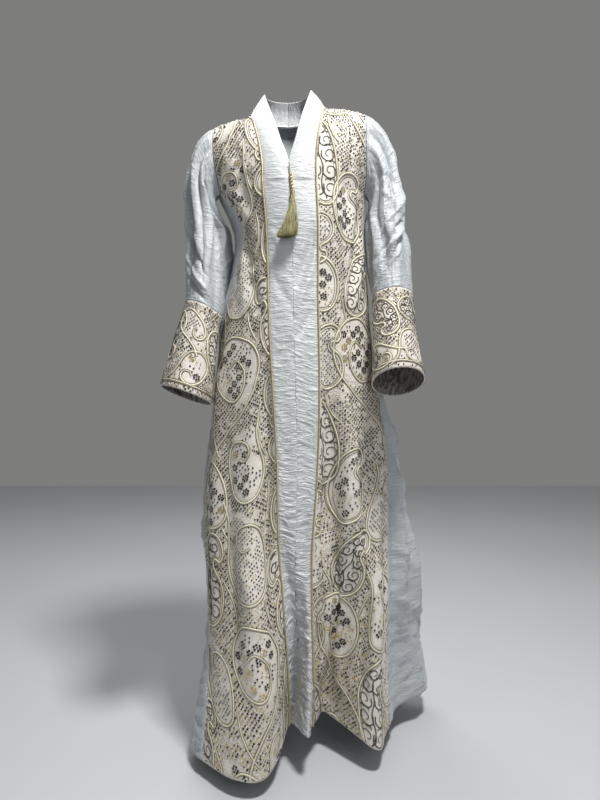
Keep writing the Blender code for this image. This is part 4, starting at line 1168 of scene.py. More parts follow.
def path_mesh(name, paths):
    """Paths as edges. Each path is (points, normals, sizes, closed)."""
    points, normals, sizes, edges, start = [], [], [], [], 0
    for path, lie, size, closed in paths:
        count = len(path)
        points.append(path)
        normals.append(np.broadcast_to(lie, path.shape))
        sizes.append(np.broadcast_to(size, count))
        i = np.arange(count if closed else count - 1)
        edges.append(np.stack([start + i, start + (i + 1) % count], axis=-1))
        start += count
    mesh = plain_mesh(name, np.concatenate(points), np.concatenate(edges))
    give(mesh, "lie", np.concatenate(normals))
    give(mesh, "size", np.concatenate(sizes))
    return mesh


def point_mesh(name, points, normals, **values):
    mesh = plain_mesh(name, points)
    give(mesh, "lie", normals)
    for label, value in values.items():
        give(mesh, label, value)
    return mesh


def cords(name, paths, material, width, height, sides):
    """Cords of one kind along paths, as one piece."""
    mesh = path_mesh(name, paths)
    return made_by_nodes(name, mesh, CORDS, material, width=width, height=height, sides=sides)


def turned_shape(name, profile, sides, flutes=0, depth=0.0):
    """A lathe shape along +Z from (height, radius) rows, closed at each end."""
    points, faces = [], []
    for height, radius in profile:
        for k in range(sides):
            turn = 2 * math.pi * k / sides
            size = radius * (1 - depth * (0.5 - 0.5 * math.cos(flutes * turn)))
            points.append((math.cos(turn) * size, math.sin(turn) * size, height))
    for i in range(len(profile) - 1):
        for k in range(sides):
            a, b = i * sides + k, i * sides + (k + 1) % sides
            faces.append((a, b, b + sides, a + sides))
    last = (len(profile) - 1) * sides
    return plain_mesh(name, points, (), [*faces, range(sides)[::-1], range(last, last + sides)])


# %% [markdown]
# Threads are what every finish here is made of, so two shader groups carry the craft. One is the
# weave: weft ribs, uneven slubs and the crepe that washing leaves. The other is the twist of a
# cord or a thread. They give only heights and masks. Each material mixes its own colours from
# those and keeps its own shader.

# %% Shader helpers


def shader_group(name, inputs, outputs):
    """An empty group with number inputs, or vector ones where None is given, and number outputs."""
    group = bpy.data.node_groups.new(name, "ShaderNodeTree")
    for label, value in inputs.items():
        kind = "NodeSocketVector" if value is None else "NodeSocketFloat"
        made = group.interface.new_socket(label, in_out="INPUT", socket_type=kind)
        if value is not None:
            made.default_value = value
    for label in outputs:
        group.interface.new_socket(label, in_out="OUTPUT", socket_type="NodeSocketFloat")
    return group, group.nodes.new("NodeGroupInput").outputs


def maths(tree, operation, first, second=0.0, third=0.0):
    made = put(tree, "ShaderNodeMath", {0: first, 1: second, 2: third}, operation=operation)
    return made.outputs[0]


def times(tree, value, by, plus=None):
    """One value times another, plus a third if there is one."""
    if plus is None:
        return maths(tree, "MULTIPLY", value, by)
    return maths(tree, "MULTIPLY_ADD", value, by, plus)


def streaks(tree, place_on, wide, tall, detail=2.0):
    """Noise stretched across the cloth: wide and tall are how often it changes in a metre."""
    scaled = put(tree, "ShaderNodeMapping", {"Vector": place_on, "Scale": (wide, tall, 1.0)})
    inputs = {"Vector": scaled, "Scale": 1.0, "Detail": detail, "Roughness": 0.55}
    return put(tree, "ShaderNodeTexNoise", inputs).outputs["Fac"]


def speckle(tree, place_on, scale, detail=2.0):
    """Noise that is even in every direction: scale is how often it changes in a metre."""
    inputs = {"Vector": place_on, "Scale": scale, "Detail": detail}
    return put(tree, "ShaderNodeTexNoise", inputs).outputs["Fac"]


def own_place(tree):
    """The object's own coordinates."""
    return put(tree, "ShaderNodeTexCoord").outputs["Object"]


def spread(tree, value, low, high):
    """The part of a value between low and high, as 0 to 1."""
    found = put(tree, "ShaderNodeMapRange", {"Value": value, "From Min": low, "From Max": high})
    return found.outputs[0]


def mixed(tree, share, first, second):
    """Two colours, or two colour sockets, mixed by a share."""
    first, second = ((*c, 1.0) if isinstance(c, tuple) else c for c in (first, second))
    inputs = {0: share, 6: first, 7: second}
    return put(tree, "ShaderNodeMix", inputs, data_type="RGBA").outputs[2]


print("noise comes in streaks on the cloth and in speckle through the room")

# %% The weave and the twist


def build_weave():
    """Ribs of weft, slubs and crepe on flat coordinates in metres."""
    group, given = shader_group(
        "weave",
        {"Flat": None, "Threads": 1100.0, "Slub": 0.5, "Crepe": 0.5, "Crinkle": 0.0},
        ("Height", "Slubs"),
    )
    flat = put(group, "ShaderNodeSeparateXYZ", {"Vector": given["Flat"]}).outputs
    wander = streaks(group, given["Flat"], 40.0, 60.0)
    wander = times(group, wander, 3.0)
    weft = times(group, flat["Y"], given["Threads"], wander)
    ribs = maths(group, "SINE", times(group, weft, 2 * math.pi))
    warp = times(group, flat["X"], given["Threads"])
    warp = maths(group, "SINE", times(group, warp, 2 * math.pi * 1.3))
    threads = maths(group, "ADD", ribs, times(group, warp, 0.35))
    slubs = spread(group, streaks(group, given["Flat"], 22.0, 640.0, 3.0), 0.38, 0.68)
    crepe = streaks(group, given["Flat"], 75.0, 230.0, 3.0)
    height = times(group, threads, 0.04)
    height = times(group, slubs, given["Slub"], height)
    height = times(group, crepe, given["Crepe"], height)
    creased = times(group, streaks(group, given["Flat"], 26.0, 95.0, 3.0), 2.0, -1.0)
    creased = maths(group, "ABSOLUTE", creased)
    height = times(group, creased, given["Crinkle"], height)
    put(group, "NodeGroupOutput", {"Height": height, "Slubs": slubs})
    return group


def build_twist():
    """Plies that wind round a cord, from its own along and around attributes."""
    group, given = shader_group("twist", {"Pitch": 0.004, "Plies": 2.0}, ("Height", "Ply"))
    turns = maths(group, "DIVIDE", attribute(group, "along"), given["Pitch"])
    wound = times(group, attribute(group, "around"), given["Plies"], turns)
    wave = maths(group, "SINE", times(group, wound, 2 * math.pi))
    shade = times(group, wave, 0.5, 0.5)
    put(group, "NodeGroupOutput", {"Height": maths(group, "SQRT", shade), "Ply": shade})
    return group


def attribute(tree, label):
    """A number that the mesh carries on its points."""
    return put(tree, "ShaderNodeAttribute", attribute_name=label).outputs["Fac"]


WEAVE = build_weave()
TWIST = build_twist()
print("shader groups:", WEAVE.name, "and", TWIST.name)

# %% [markdown]
# The plain cloth is a pale silver-blue silk with a crinkled, slubbed weft. What makes it read as
# silk is the gloss on its creases, so roughness is fairly low and rises in the slubs.

# %% Cloth materials


def new_material(name):
    made = bpy.data.materials.new(name)
    made.use_nodes = True
    return made, made.node_tree


def flat_of(tree):
    """The cloth's own flat coordinates."""
    return put(tree, "ShaderNodeUVMap", uv_map="flat").outputs[0]


def grouped(tree, group, **values):
    """The outputs of a shader group used in a material."""
    return put(tree, "ShaderNodeGroup", values, node_tree=group).outputs


def dress(made, colour, roughness, height=None, depth=0.0, **finish):
    """The material with its colour, its roughness, its relief in metres and its plain numbers."""
    tree = made.node_tree
    shader = tree.nodes["Principled BSDF"]
    feed(tree, shader, {"Base Color": colour, "Roughness": roughness})
    for label, value in finish.items():
        shader.inputs[label.replace("_", " ").title().replace("Ior", "IOR")].default_value = value
    if height is not None:
        relief = put(tree, "ShaderNodeBump", {"Height": height, "Distance": depth, "Strength": 1.0})
        feed(tree, shader, {"Normal": relief})
    return made


def silk(name, low, high, crepe, crinkle, slub=0.35):
    """Plain slubbed silk between two colours."""
    made, tree = new_material(name)
    upward = put(tree, "ShaderNodeSeparateXYZ", {"Vector": flat_of(tree)}).outputs["Y"]
    fade = spread(tree, upward, 1.25, 0.25)
    fade = times(tree, fade, 0.88 * crinkle, 0.12 * crinkle)
    weave = grouped(tree, WEAVE, Flat=flat_of(tree), Crepe=crepe, Slub=slub, Crinkle=fade)
    broad = streaks(tree, flat_of(tree), 5.0, 9.0, 1.0)
    shade = times(tree, weave["Slubs"], 0.55, times(tree, broad, 0.45))
    colour = mixed(tree, shade, low, high)
    rough = times(tree, weave["Slubs"], 0.14, 0.32)
    finish = {"sheen_weight": 0.15, "sheen_roughness": 0.4, "specular_ior_level": 0.7}
    return dress(made, colour, rough, weave["Height"], 0.0009, **finish)


PLAIN_SILK = silk("plain_silk", (0.48, 0.505, 0.52), (0.68, 0.70, 0.705), 1.2, 6.5)
# The same silk as the band's in darker colours for the sleeves, the sides and the back: painted
# shade.
SHADED_SILK = silk("sleeve_silk", (0.40, 0.43, 0.46), (0.54, 0.565, 0.59), 0.8, 3.0)


def brocade():
    """The embroidered ground: champagne between the motifs, paler and smoother inside them."""
    made, tree = new_material("embroidered_ground")
    flat = flat_of(tree)
    weave = grouped(tree, WEAVE, Flat=flat, Crepe=0.25, Slub=0.3, Threads=900.0)
    inlay = attribute(tree, "inlay")
    cells = put(tree, "ShaderNodeTexVoronoi", {"Vector": flat, "Scale": 330.0, "Randomness": 0.9})
    stitch = spread(tree, cells.outputs["Distance"], 0.1, 0.75)
    blotch = streaks(tree, flat, 18.0, 18.0, 2.0)
    between = mixed(tree, stitch, (0.92, 0.875, 0.81), (0.50, 0.45, 0.39))
    within = mixed(tree, weave["Slubs"], (0.80, 0.755, 0.70), (0.66, 0.615, 0.56))
    colour = mixed(tree, inlay, between, within)
    # A darker champagne mixed into the ground in random blotches.
    darker_blotches = mixed(tree, spread(tree, blotch, 0.35, 0.7), colour, (0.62, 0.56, 0.46))
    colour = mixed(tree, 0.3, colour, darker_blotches)
    rough = times(tree, stitch, 0.2, 0.42)
    relief = times(tree, stitch, maths(tree, "SUBTRACT", 1.0, inlay))
    height = times(tree, relief, -0.8, weave["Height"])
    finish = {"sheen_weight": 0.2, "sheen_roughness": 0.5, "specular_ior_level": 0.5}
    return dress(made, colour, rough, height, 0.0007, **finish)


def reverse_side():
    """The back of the embroidery, with loose dark threads on grey, the grey kept dark as painted
    shade.
    """
    made, tree = new_material("embroidery_reverse")
    flat = flat_of(tree)
    floats = spread(tree, streaks(tree, flat, 130.0, 60.0, 3.0), 0.42, 0.6)
    weave = grouped(tree, WEAVE, Flat=flat, Crepe=0.3, Slub=0.3)
    # The loose threads are the embroidery's own; the dark grey under them is painted shade inside
    # the cuffs and fronts.
    colour = mixed(tree, floats, (0.30, 0.28, 0.26), (0.07, 0.06, 0.055))
    rough = times(tree, floats, 0.2, 0.55)
    return dress(made, colour, rough, maths(tree, "ADD", weave["Height"], floats), 0.0006)


GROUND = brocade()
REVERSE = reverse_side()
print("cloths:", [m.name for m in (PLAIN_SILK, SHADED_SILK, GROUND, REVERSE)])

# %% [markdown]
# The embroidery is couched: a soft gold cord is laid on the cloth and sewn down, and dark silk
# draws the scrolls. A thinner, darker cord runs along each edge of the gold one as painted shade
# beside it. All are twisted threads, so one recipe with other colours, pitch and gloss makes each
# of them.

# %% Thread and metal materials


def thread(
    name, low, high, pitch, plies=1.0, metallic=0.0, roughness=0.42, sheen=0.2, depth=0.0004,
    patches=60.0, drawn_out=1.0, patchy=0.0,
):
    """A twisted thread whose plies run between two colours, darker in patches, with a painted
    highlight on its crest.
    """
    made, tree = new_material(name)
    twist = grouped(tree, TWIST, Pitch=pitch, Plies=plies)
    inputs = {"Vector": own_place(tree), "Scale": (1.0, 1.0, 1.0 / drawn_out)}
    drift = speckle(tree, put(tree, "ShaderNodeMapping", inputs), patches)
    # Painted highlight and shade: lighter where the thread faces out from the cloth, darker round
    # its sides and under it.
    crest = times(tree, attribute(tree, "around"), 2 * math.pi)
    crest = times(tree, maths(tree, "COSINE", crest), 0.5, 0.5)
    shade = times(tree, twist["Ply"], 0.4, times(tree, drift, 0.2))
    shade = times(tree, crest, 0.4, shade)
    bright = times(tree, spread(tree, drift, 0.40, 0.60), patchy, 1 - patchy)
    shade = times(tree, shade, bright)
    colour = mixed(tree, shade, low, high)
    rough = times(tree, drift, 0.15, roughness - 0.07)
    finish = {"metallic": metallic, "sheen_weight": sheen, "specular_ior_level": 0.5}
    return dress(made, colour, rough, twist["Height"], depth, **finish)


GOLD_CORD = thread("gold_cord", (0.56, 0.50, 0.34), (0.90, 0.86, 0.70), 0.0035, 1.0, 0.12, 0.34)
# Darker cords: the inner lines of the paisleys, and painted shade along each edge of a gold cord.
OLIVE_AND_SHADE_CORD = thread("olive_cord", (0.11, 0.092, 0.055), (0.28, 0.24, 0.15), 0.0025, 1.0, 0.15, 0.42)
DARK_THREAD = thread("dark_thread", (0.030, 0.022, 0.018), (0.10, 0.078, 0.062), 0.002)
PIPING_GOLD = thread("piping_gold", (0.26, 0.20, 0.08), (0.74, 0.63, 0.34), 0.0042, 2.0, 0.35, 0.32)
SEAM_THREAD = thread("seam_thread", (0.60, 0.60, 0.58), (0.78, 0.79, 0.80), 0.0012)
TASSEL_SILK = thread(
    "tassel_silk", (0.060, 0.052, 0.008), (0.62, 0.56, 0.17), 0.003, 1.0, 0.0, 0.32, 0.3,
    patches=420.0, drawn_out=12.0, patchy=0.85,
)

# The sequins' colours by tone.
FOIL_TONES = {
    0.0: (0.012, 0.010, 0.010), 0.55: (0.055, 0.042, 0.036), 0.72: (0.55, 0.42, 0.12),
    0.90: (0.80, 0.66, 0.34), 1.0: (0.90, 0.88, 0.80),
}


def sequin_metal():
    """One plastic foil for every sequin: its tone, 0 to 1, runs from dark bronze to bright gold."""
    made, tree = new_material("sequin_foil")
    ramp = tree.nodes.new("ShaderNodeValToRGB")
    for index, (at, colour) in enumerate(FOIL_TONES.items()):
        stop = ramp.color_ramp.elements[index] if index < 2 else ramp.color_ramp.elements.new(at)
        stop.position = at
        stop.color = (*colour, 1.0)
    tone = attribute(tree, "tone")
    feed(tree, ramp, {0: tone})
    rough = times(tree, tone, -0.12, 0.34)
    feed(tree, tree.nodes["Principled BSDF"], {"Metallic": times(tree, tone, 0.9, 0.05)})
    return dress(made, ramp, rough, speckle(tree, own_place(tree), 900.0), 0.0001)


def bead_metal():
    made, tree = new_material("bead_metal")
    place_on = own_place(tree)
    grain = speckle(tree, place_on, 1400.0, 3.0)
    rubbed = spread(tree, speckle(tree, place_on, 220.0), 0.35, 0.65)
    colour = mixed(tree, rubbed, (0.55, 0.38, 0.10), (0.86, 0.68, 0.30))
    rough = times(tree, rubbed, -0.15, 0.36)
    return dress(made, colour, rough, grain, 0.0002, metallic=1.0)


SEQUIN_FOIL = sequin_metal()
BEAD_METAL = bead_metal()
print("materials made:", len(bpy.data.materials))

# %% [markdown]
# The fronts and cuffs are cut from cloth that was embroidered by the metre, so one design repeats
# every 40 by 60 centimetres and the seams cut through it. The design is drawn here as rows of
# numbers: paisleys of several sizes, each filled with flowers, scrolls or dots, long spirals whose
# tails sweep down between them, and free leaves. Only its order is borrowed from tradition. No
# drawing was traced.

# %% The embroidery's design
REPEAT = np.array([0.40, 0.60])


def sized(count, rows):
    """The rows with their first numbers turned from thousandths into metres or shares."""
    return [(*(number / 1000 for number in row[:count]), *row[count:]) for row in rows]


# Columns: across, up, length and width in millimetres, lean in degrees, hand, filling, shape.
PAISLEYS = sized(4, (
    (88, 315, 300, 118, 4, 1, "flowers", "spiral"),
    (292, 30, 300, 118, -4, -1, "flowers", "spiral"),
    (196, 262, 200, 82, -5, -1, "scrolls", "closed"),
    (396, 205, 195, 80, 6, 1, "scrolls", "closed"),
    (205, 452, 165, 98, 6, 1, "flowers", "hook"),
    (298, 318, 185, 100, -6, 1, "dots", "hook"),
    (100, 545, 150, 82, -12, -1, "scrolls", "closed"),
    (8, 385, 135, 76, 8, -1, "dots", "closed"),
    (312, 505, 150, 90, 10, -1, "flowers", "hook"),
    (178, 60, 150, 90, -8, 1, "dots", "hook"),
    (70, 110, 150, 86, 14, -1, "flowers", "closed"),
    (400, 540, 115, 70, -10, 1, "flowers", "closed"),
    (392, 40, 105, 60, 160, 1, "dots", "closed"),
))
# Columns: across, up and length in millimetres, bend, lean in degrees.
LEAVES = sized(3, (
    (246, 205, 120, 0.34, 12),
    (250, 400, 100, -0.36, 8),
    (146, 440, 110, -0.34, -6),
    (150, 160, 110, 0.4, -14),
    (345, 215, 110, -0.34, 10),
    (352, 400, 110, 0.38, -10),
    (356, 560, 110, -0.36, 4),
    (40, 480, 110, 0.4, 12),
    (20, 290, 90, -0.4, 22),
    (128, 0, 110, 0.36, -10),
    (236, 570, 100, -0.36, 10),
    (14, 110, 110, 0.34, 4),
))
# Shapes in hundredths of a unit of length. CLOSED runs from under the tip round the foot and
# back. HOOK is open, and its end curls in at the top. SPIRAL starts at the end of its tail and
# winds into its head, and HEAD closes round that head.
CLOSED = np.array((
    (-10, 13), (-21, 0), (-25, -16), (-20, -33), (-5, -45), (12, -45), (25, -33), (29, -12),
    (26, 10), (17, 30), (2, 44), (-14, 47), (-25, 40), (-28, 28), (-22, 20), (-13, 22),
)) / 100
HOOK = np.array((
    (-33, 52), (-25, 34), (-24, 10), (-25, -12), (-20, -32), (-5, -45), (12, -45), (25, -33),
    (29, -12), (27, 10), (19, 28), (6, 35), (-7, 29), (-9, 15), (0, 7), (9, 12),
)) / 100
SPIRAL = np.array((
    (34, -50), (27, -33), (10, -17), (-10, -2), (-24, 13), (-28, 30), (-16, 44), (6, 48), (24, 38),
    (29, 22), (20, 8), (3, 4), (-9, 13), (-10, 25), (0, 32), (9, 27),
)) / 100
HEAD = np.array((
    (-20, 13), (-27, 30), (-16, 43), (6, 47), (23, 38), (28, 22), (19, 8), (2, 3), (-11, 5),
)) / 100
LINES = {"closed": CLOSED, "hook": HOOK, "spiral": SPIRAL}
FILLED = {"closed": CLOSED, "hook": CLOSED, "spiral": HEAD}
# How wide and how long the shapes are, in their own unit.
DRAWN_WIDTH, DRAWN_LENGTH = 0.57, 0.94
print("paisleys in one repeat:", len(PAISLEYS), "leaves:", len(LEAVES))

# %% Paths from the shapes


def through(points, closed, spacing):
    """An even, smooth path through the given points."""
    points = np.asarray(points, float)
    if closed:
        points = np.concatenate([points[-1:], points, points[:2]])
    else:
        start, end = 2 * points[:1] - points[1:2], 2 * points[-1:] - points[-2:-1]
        points = np.concatenate([start, points, end])
    t = np.linspace(0, 1, 13)[:-1, None, None]
    curve = on_curve(points[:-3], points[1:-2], points[2:-1], points[3:], t)
    curve = np.concatenate([curve.transpose(1, 0, 2).reshape(-1, 2), points[-2:-1]])
    along = length_along(curve)
    count = max(int(round(along[-1] / spacing)), 4)
    at = np.linspace(0, along[-1], count + 1)
    return read_line(at[:-1] if closed else at, along, curve)


def beside(path, distance, closed):
    """The path moved to its left in the flat cloth."""
    ahead = np.roll(path, -1, axis=0) - np.roll(path, 1, axis=0)
    if not closed:
        ahead[0] = path[1] - path[0]
        ahead[-1] = path[-1] - path[-2]
    ahead = unit(ahead)
    return path + distance * np.stack([-ahead[:, 1], ahead[:, 0]], axis=-1)


def within(points, outline):
    """Which flat points lie inside a closed outline."""
    x, y = points[:, 0, None], points[:, 1, None]
    x0, y0 = outline[:, 0], outline[:, 1]
    x1, y1 = np.roll(x0, -1), np.roll(y0, -1)
    crosses = (y0 > y) != (y1 > y)
    at = x0 + (y - y0) / np.where(y1 == y0, 1e-9, y1 - y0) * (x1 - x0)
    return ((crosses & (x < at)).sum(axis=1) % 2) == 1


def drawn(row, shape, closed, spacing, grow=0.0):
    """A shape of the design at its row's place, size and lean, moved outward by grow."""
    across, up, length, width, lean, hand = row[:6]
    points = np.asarray(shape) * (width / DRAWN_WIDTH, length / DRAWN_LENGTH)
    angle = math.radians(lean)
    x, y = points[:, 0] * hand, points[:, 1]
    turned_x = across + x * math.cos(angle) - y * math.sin(angle)
    turned_y = up + x * math.sin(angle) + y * math.cos(angle)
    path = through(np.stack([turned_x, turned_y], axis=-1), closed, spacing)
    way = 1 if shape is HEAD else -1
    return beside(path, way * grow * hand, closed) if grow else path


def filled(row, grow):
    """The closed outline that a row's filling stays inside."""
    return drawn(row, FILLED[row[7]], True, 0.005, grow)


print("points round the first paisley's filling:", len(filled(PAISLEYS[0], 0.0)))

# %% Laying the design on a panel


# How far cords and sequins stop short of a seam, and how far a shape reaches from its middle.
SEAM_MARGIN = 0.0035
SHAPE_REACH = 0.16


def laid_out(panel, offset, rows):
    """The design's rows moved to every repeat where a shape can reach the panel."""
    low = np.array([panel.u.min(), 0.0]) - SHAPE_REACH
    high = np.array([panel.u.max(), panel.v[-1]]) + SHAPE_REACH
    found = []
    for i in range(-2, 4):
        for j in range(-2, 5):
            shift = np.array(offset) + REPEAT * (i, j)
            for row in rows:
                place_at = np.array(row[:2]) + shift
                if (place_at > low).all() and (place_at < high).all():
                    found.append((*place_at, *row[2:]))
    return found


def round_cuff(rows, girth):
    """Rows for a cuff, whose first number is a share of the way round."""
    return [(row[0] * girth, *row[1:]) for row in rows]


def repeated(rows, girth):
    """The rows and their copies one girth to either side, to test what overlaps them."""
    return [(row[0] + turn * girth, *row[1:]) for row in rows for turn in (-1, 0, 1)]


def on_cloth(panel, path, closed, size, lift):
    """The parts of a flat path that lie on the panel, as paths in the frame."""
    points, normals, inside = panel.at(path[:, 0], path[:, 1])
    if not panel.closed:
        for aside in (-SEAM_MARGIN, SEAM_MARGIN):
            inside &= panel.at(path[:, 0] + aside, path[:, 1])[2]
    for up in (-SEAM_MARGIN, SEAM_MARGIN):
        inside &= panel.at(path[:, 0], path[:, 1] + up)[2]
    points = points + normals * lift
    size = np.broadcast_to(np.asarray(size, float), len(path))
    if inside.all():
        return [(points, normals, size, closed)]
    order = np.arange(len(path))
    if closed and inside[0]:
        order = np.roll(order, -int(np.nonzero(~inside)[0][0]))
    runs = np.split(order, np.nonzero(np.diff(inside[order].astype(int)))[0] + 1)
    kept = [run for run in runs if inside[run[0]] and len(run) >= 3]
    return [(points[run], normals[run], size[run], False) for run in kept]


print("every line ends", SEAM_MARGIN, "m short of a seam")

# %% Scrolls, flowers and nets


def spiral(middle, radius, turns, start, hand):
    """Points of a curl that winds in towards its middle."""
    t = np.linspace(0, 1, 12)
    angle = start + hand * 2 * math.pi * turns * t
    reach = radius * (1 - 0.75 * t)
    return np.stack([np.cos(angle) * reach, np.sin(angle) * reach], axis=-1) + middle


# Columns: across, up and radius of a curl, in hundredths of the shape's unit.
CURLS = np.array((
    (14, -30, 10), (-8, -29, 9), (17, -12, 9), (-10, -11, 8.5), (16, 5, 8.5), (-10, 5, 7),
    (12, 20, 7.5), (-6, 19, 6), (4, 33, 6.5), (-13, 34, 6),
)) / 100
STEM = np.array(((6, -40), (1, -24), (6, -8), (0, 8), (3, 24), (-5, 34), (-16, 38))) / 100


def scroll_paths(row):
    """A vine with curls and small leaves to either side, inside one paisley."""
    paths = [drawn(row, STEM, False, 0.003)]
    stretch = row[2] / DRAWN_LENGTH / (row[3] / DRAWN_WIDTH)
    for x, y, radius in CURLS:
        way = 1 if x > 0.03 else -1
        start = math.pi * (0.85 if way > 0 else 0.15)
        shape = spiral(np.zeros(2), radius, 1.3, start, way) * (stretch, 1.0) + (x, y)
        paths.append(drawn(row, shape, False, 0.0028))
        for end in ((x + 0.10 * way, y + 0.075), (x - 0.07 * way, y + 0.085)):
            leaf = ((x + 0.02 * way, y + 0.09), ((x + end[0]) / 2, y + 0.105), end)
            paths.append(drawn(row, leaf, False, 0.003))
    return paths


def flower(middle, turn, petals=6, reach=0.0056):
    angles = turn + np.arange(petals) * 2 * math.pi / petals
    return middle + reach * np.stack([np.cos(angles), np.sin(angles)], axis=-1)


def net(middle, reach, step):
    """A staggered net of points round a middle, on the bias."""
    count = int(reach / step) + 2
    i, j = np.meshgrid(np.arange(-count, count), np.arange(-2 * count, 2 * count))
    points = np.stack([(i + 0.5 * (j % 2)) * step, j * step / 2], axis=-1).reshape(-1, 2)
    return points + middle


print("curls in a scroll:", len(CURLS))

# %% Ribbons and cords on one panel
# How far beside the gold cord the darker edge cords lie, as painted shade along its edges, and how
# far inside a closed outline its second line runs.
EDGE = 0.0027
INNER_LINE = 0.0075
# How high the middle of each kind of cord lies over the cloth.
LIFTS = {"gold": 0.0005, "olive": 0.0003, "dark": 0.0004}


class Couching:
    """The cords sewn on one panel: paths for each kind."""

    def __init__(self, panel, rows, leaves):
        self.panel = panel
        self.rows = repeated(rows, panel.girth) if panel.closed else rows
        self.cords = {"gold": [], "olive": [], "dark": []}
        self.ribbons = []
        for row in rows:
            self.sew_outline(row)
        for leaf in leaves:
            self.sew_leaf(leaf)
        for row in rows:
            for path in scroll_paths(row) if row[6] == "scrolls" else ():
                taper = 1 - 0.35 * np.linspace(0, 1, len(path)) ** 2
                self.lay("dark", path, False, taper)

    def lay(self, kind, path, closed, size):
        self.cords[kind] += on_cloth(self.panel, path, closed, size, LIFTS[kind])

    def sew_ribbon(self, path, closed, size):
        """The three cords of one line: pale gold, with a darker cord along each edge as painted
        shade.
        """
        size = np.broadcast_to(np.asarray(size, float), len(path))
        self.ribbons.append(path)
        self.lay("gold", path, closed, size)
        for way in (-EDGE, EDGE):
            self.lay("olive", beside(path, way * float(size.mean()), closed), closed, size)

    def sew_outline(self, row):
        closed = row[7] == "closed"
        path = drawn(row, LINES[row[7]], closed, 0.0042)
        if closed:
            self.sew_ribbon(path, True, 1.0)
            self.lay("olive", drawn(row, CLOSED, True, 0.005, -INNER_LINE), True, 0.75)
        else:
            fade = 1 - 0.5 * smooth_step((np.linspace(0, 1, len(path)) - 0.82) / 0.18)
            self.sew_ribbon(path, False, fade)

    def sew_leaf(self, leaf):
        across, up, length, bend, lean = leaf
        t = np.linspace(-0.47, 0.47, 7)
        arc = np.stack([bend * (0.22 - t * t) * 1.2, t], axis=-1)
        path = drawn((across, up, length, length * 0.6, lean, 1), arc, False, 0.004)
        path = path[~self.in_paisley(path, 0.006)]
        if len(path) > 6:
            fade = 1 - 0.6 * np.abs(np.linspace(-1, 1, len(path))) ** 3
            self.sew_ribbon(path, False, 0.85 * fade)

    def in_paisley(self, points, grow):
        found = np.zeros(len(points), bool)
        for row in self.rows:
            near = np.linalg.norm(points - np.array(row[:2]), axis=1) < row[2] * 0.62 + grow
            if near.any():
                found[near] |= within(points[near], filled(row, grow))
        return found


print("kinds of cord:", *LIFTS)

# %% Sequins on one panel
# How far a sequin's middle keeps from every ribbon.
SEQUIN_ROOM = 0.0042
# For each net of sequins: its step, how far it keeps from the outlines and how far they stray.
FLOWER_NET = (0.0262, 0.0095, 0.0010)
DOT_NET = (0.0090, 0.0080, 0.0004)
GROUND_NET = (0.0094, 0.0030, 0.0005)
GROUND_RISE = 0.0047
ABOUT_A_TURN = 6.28


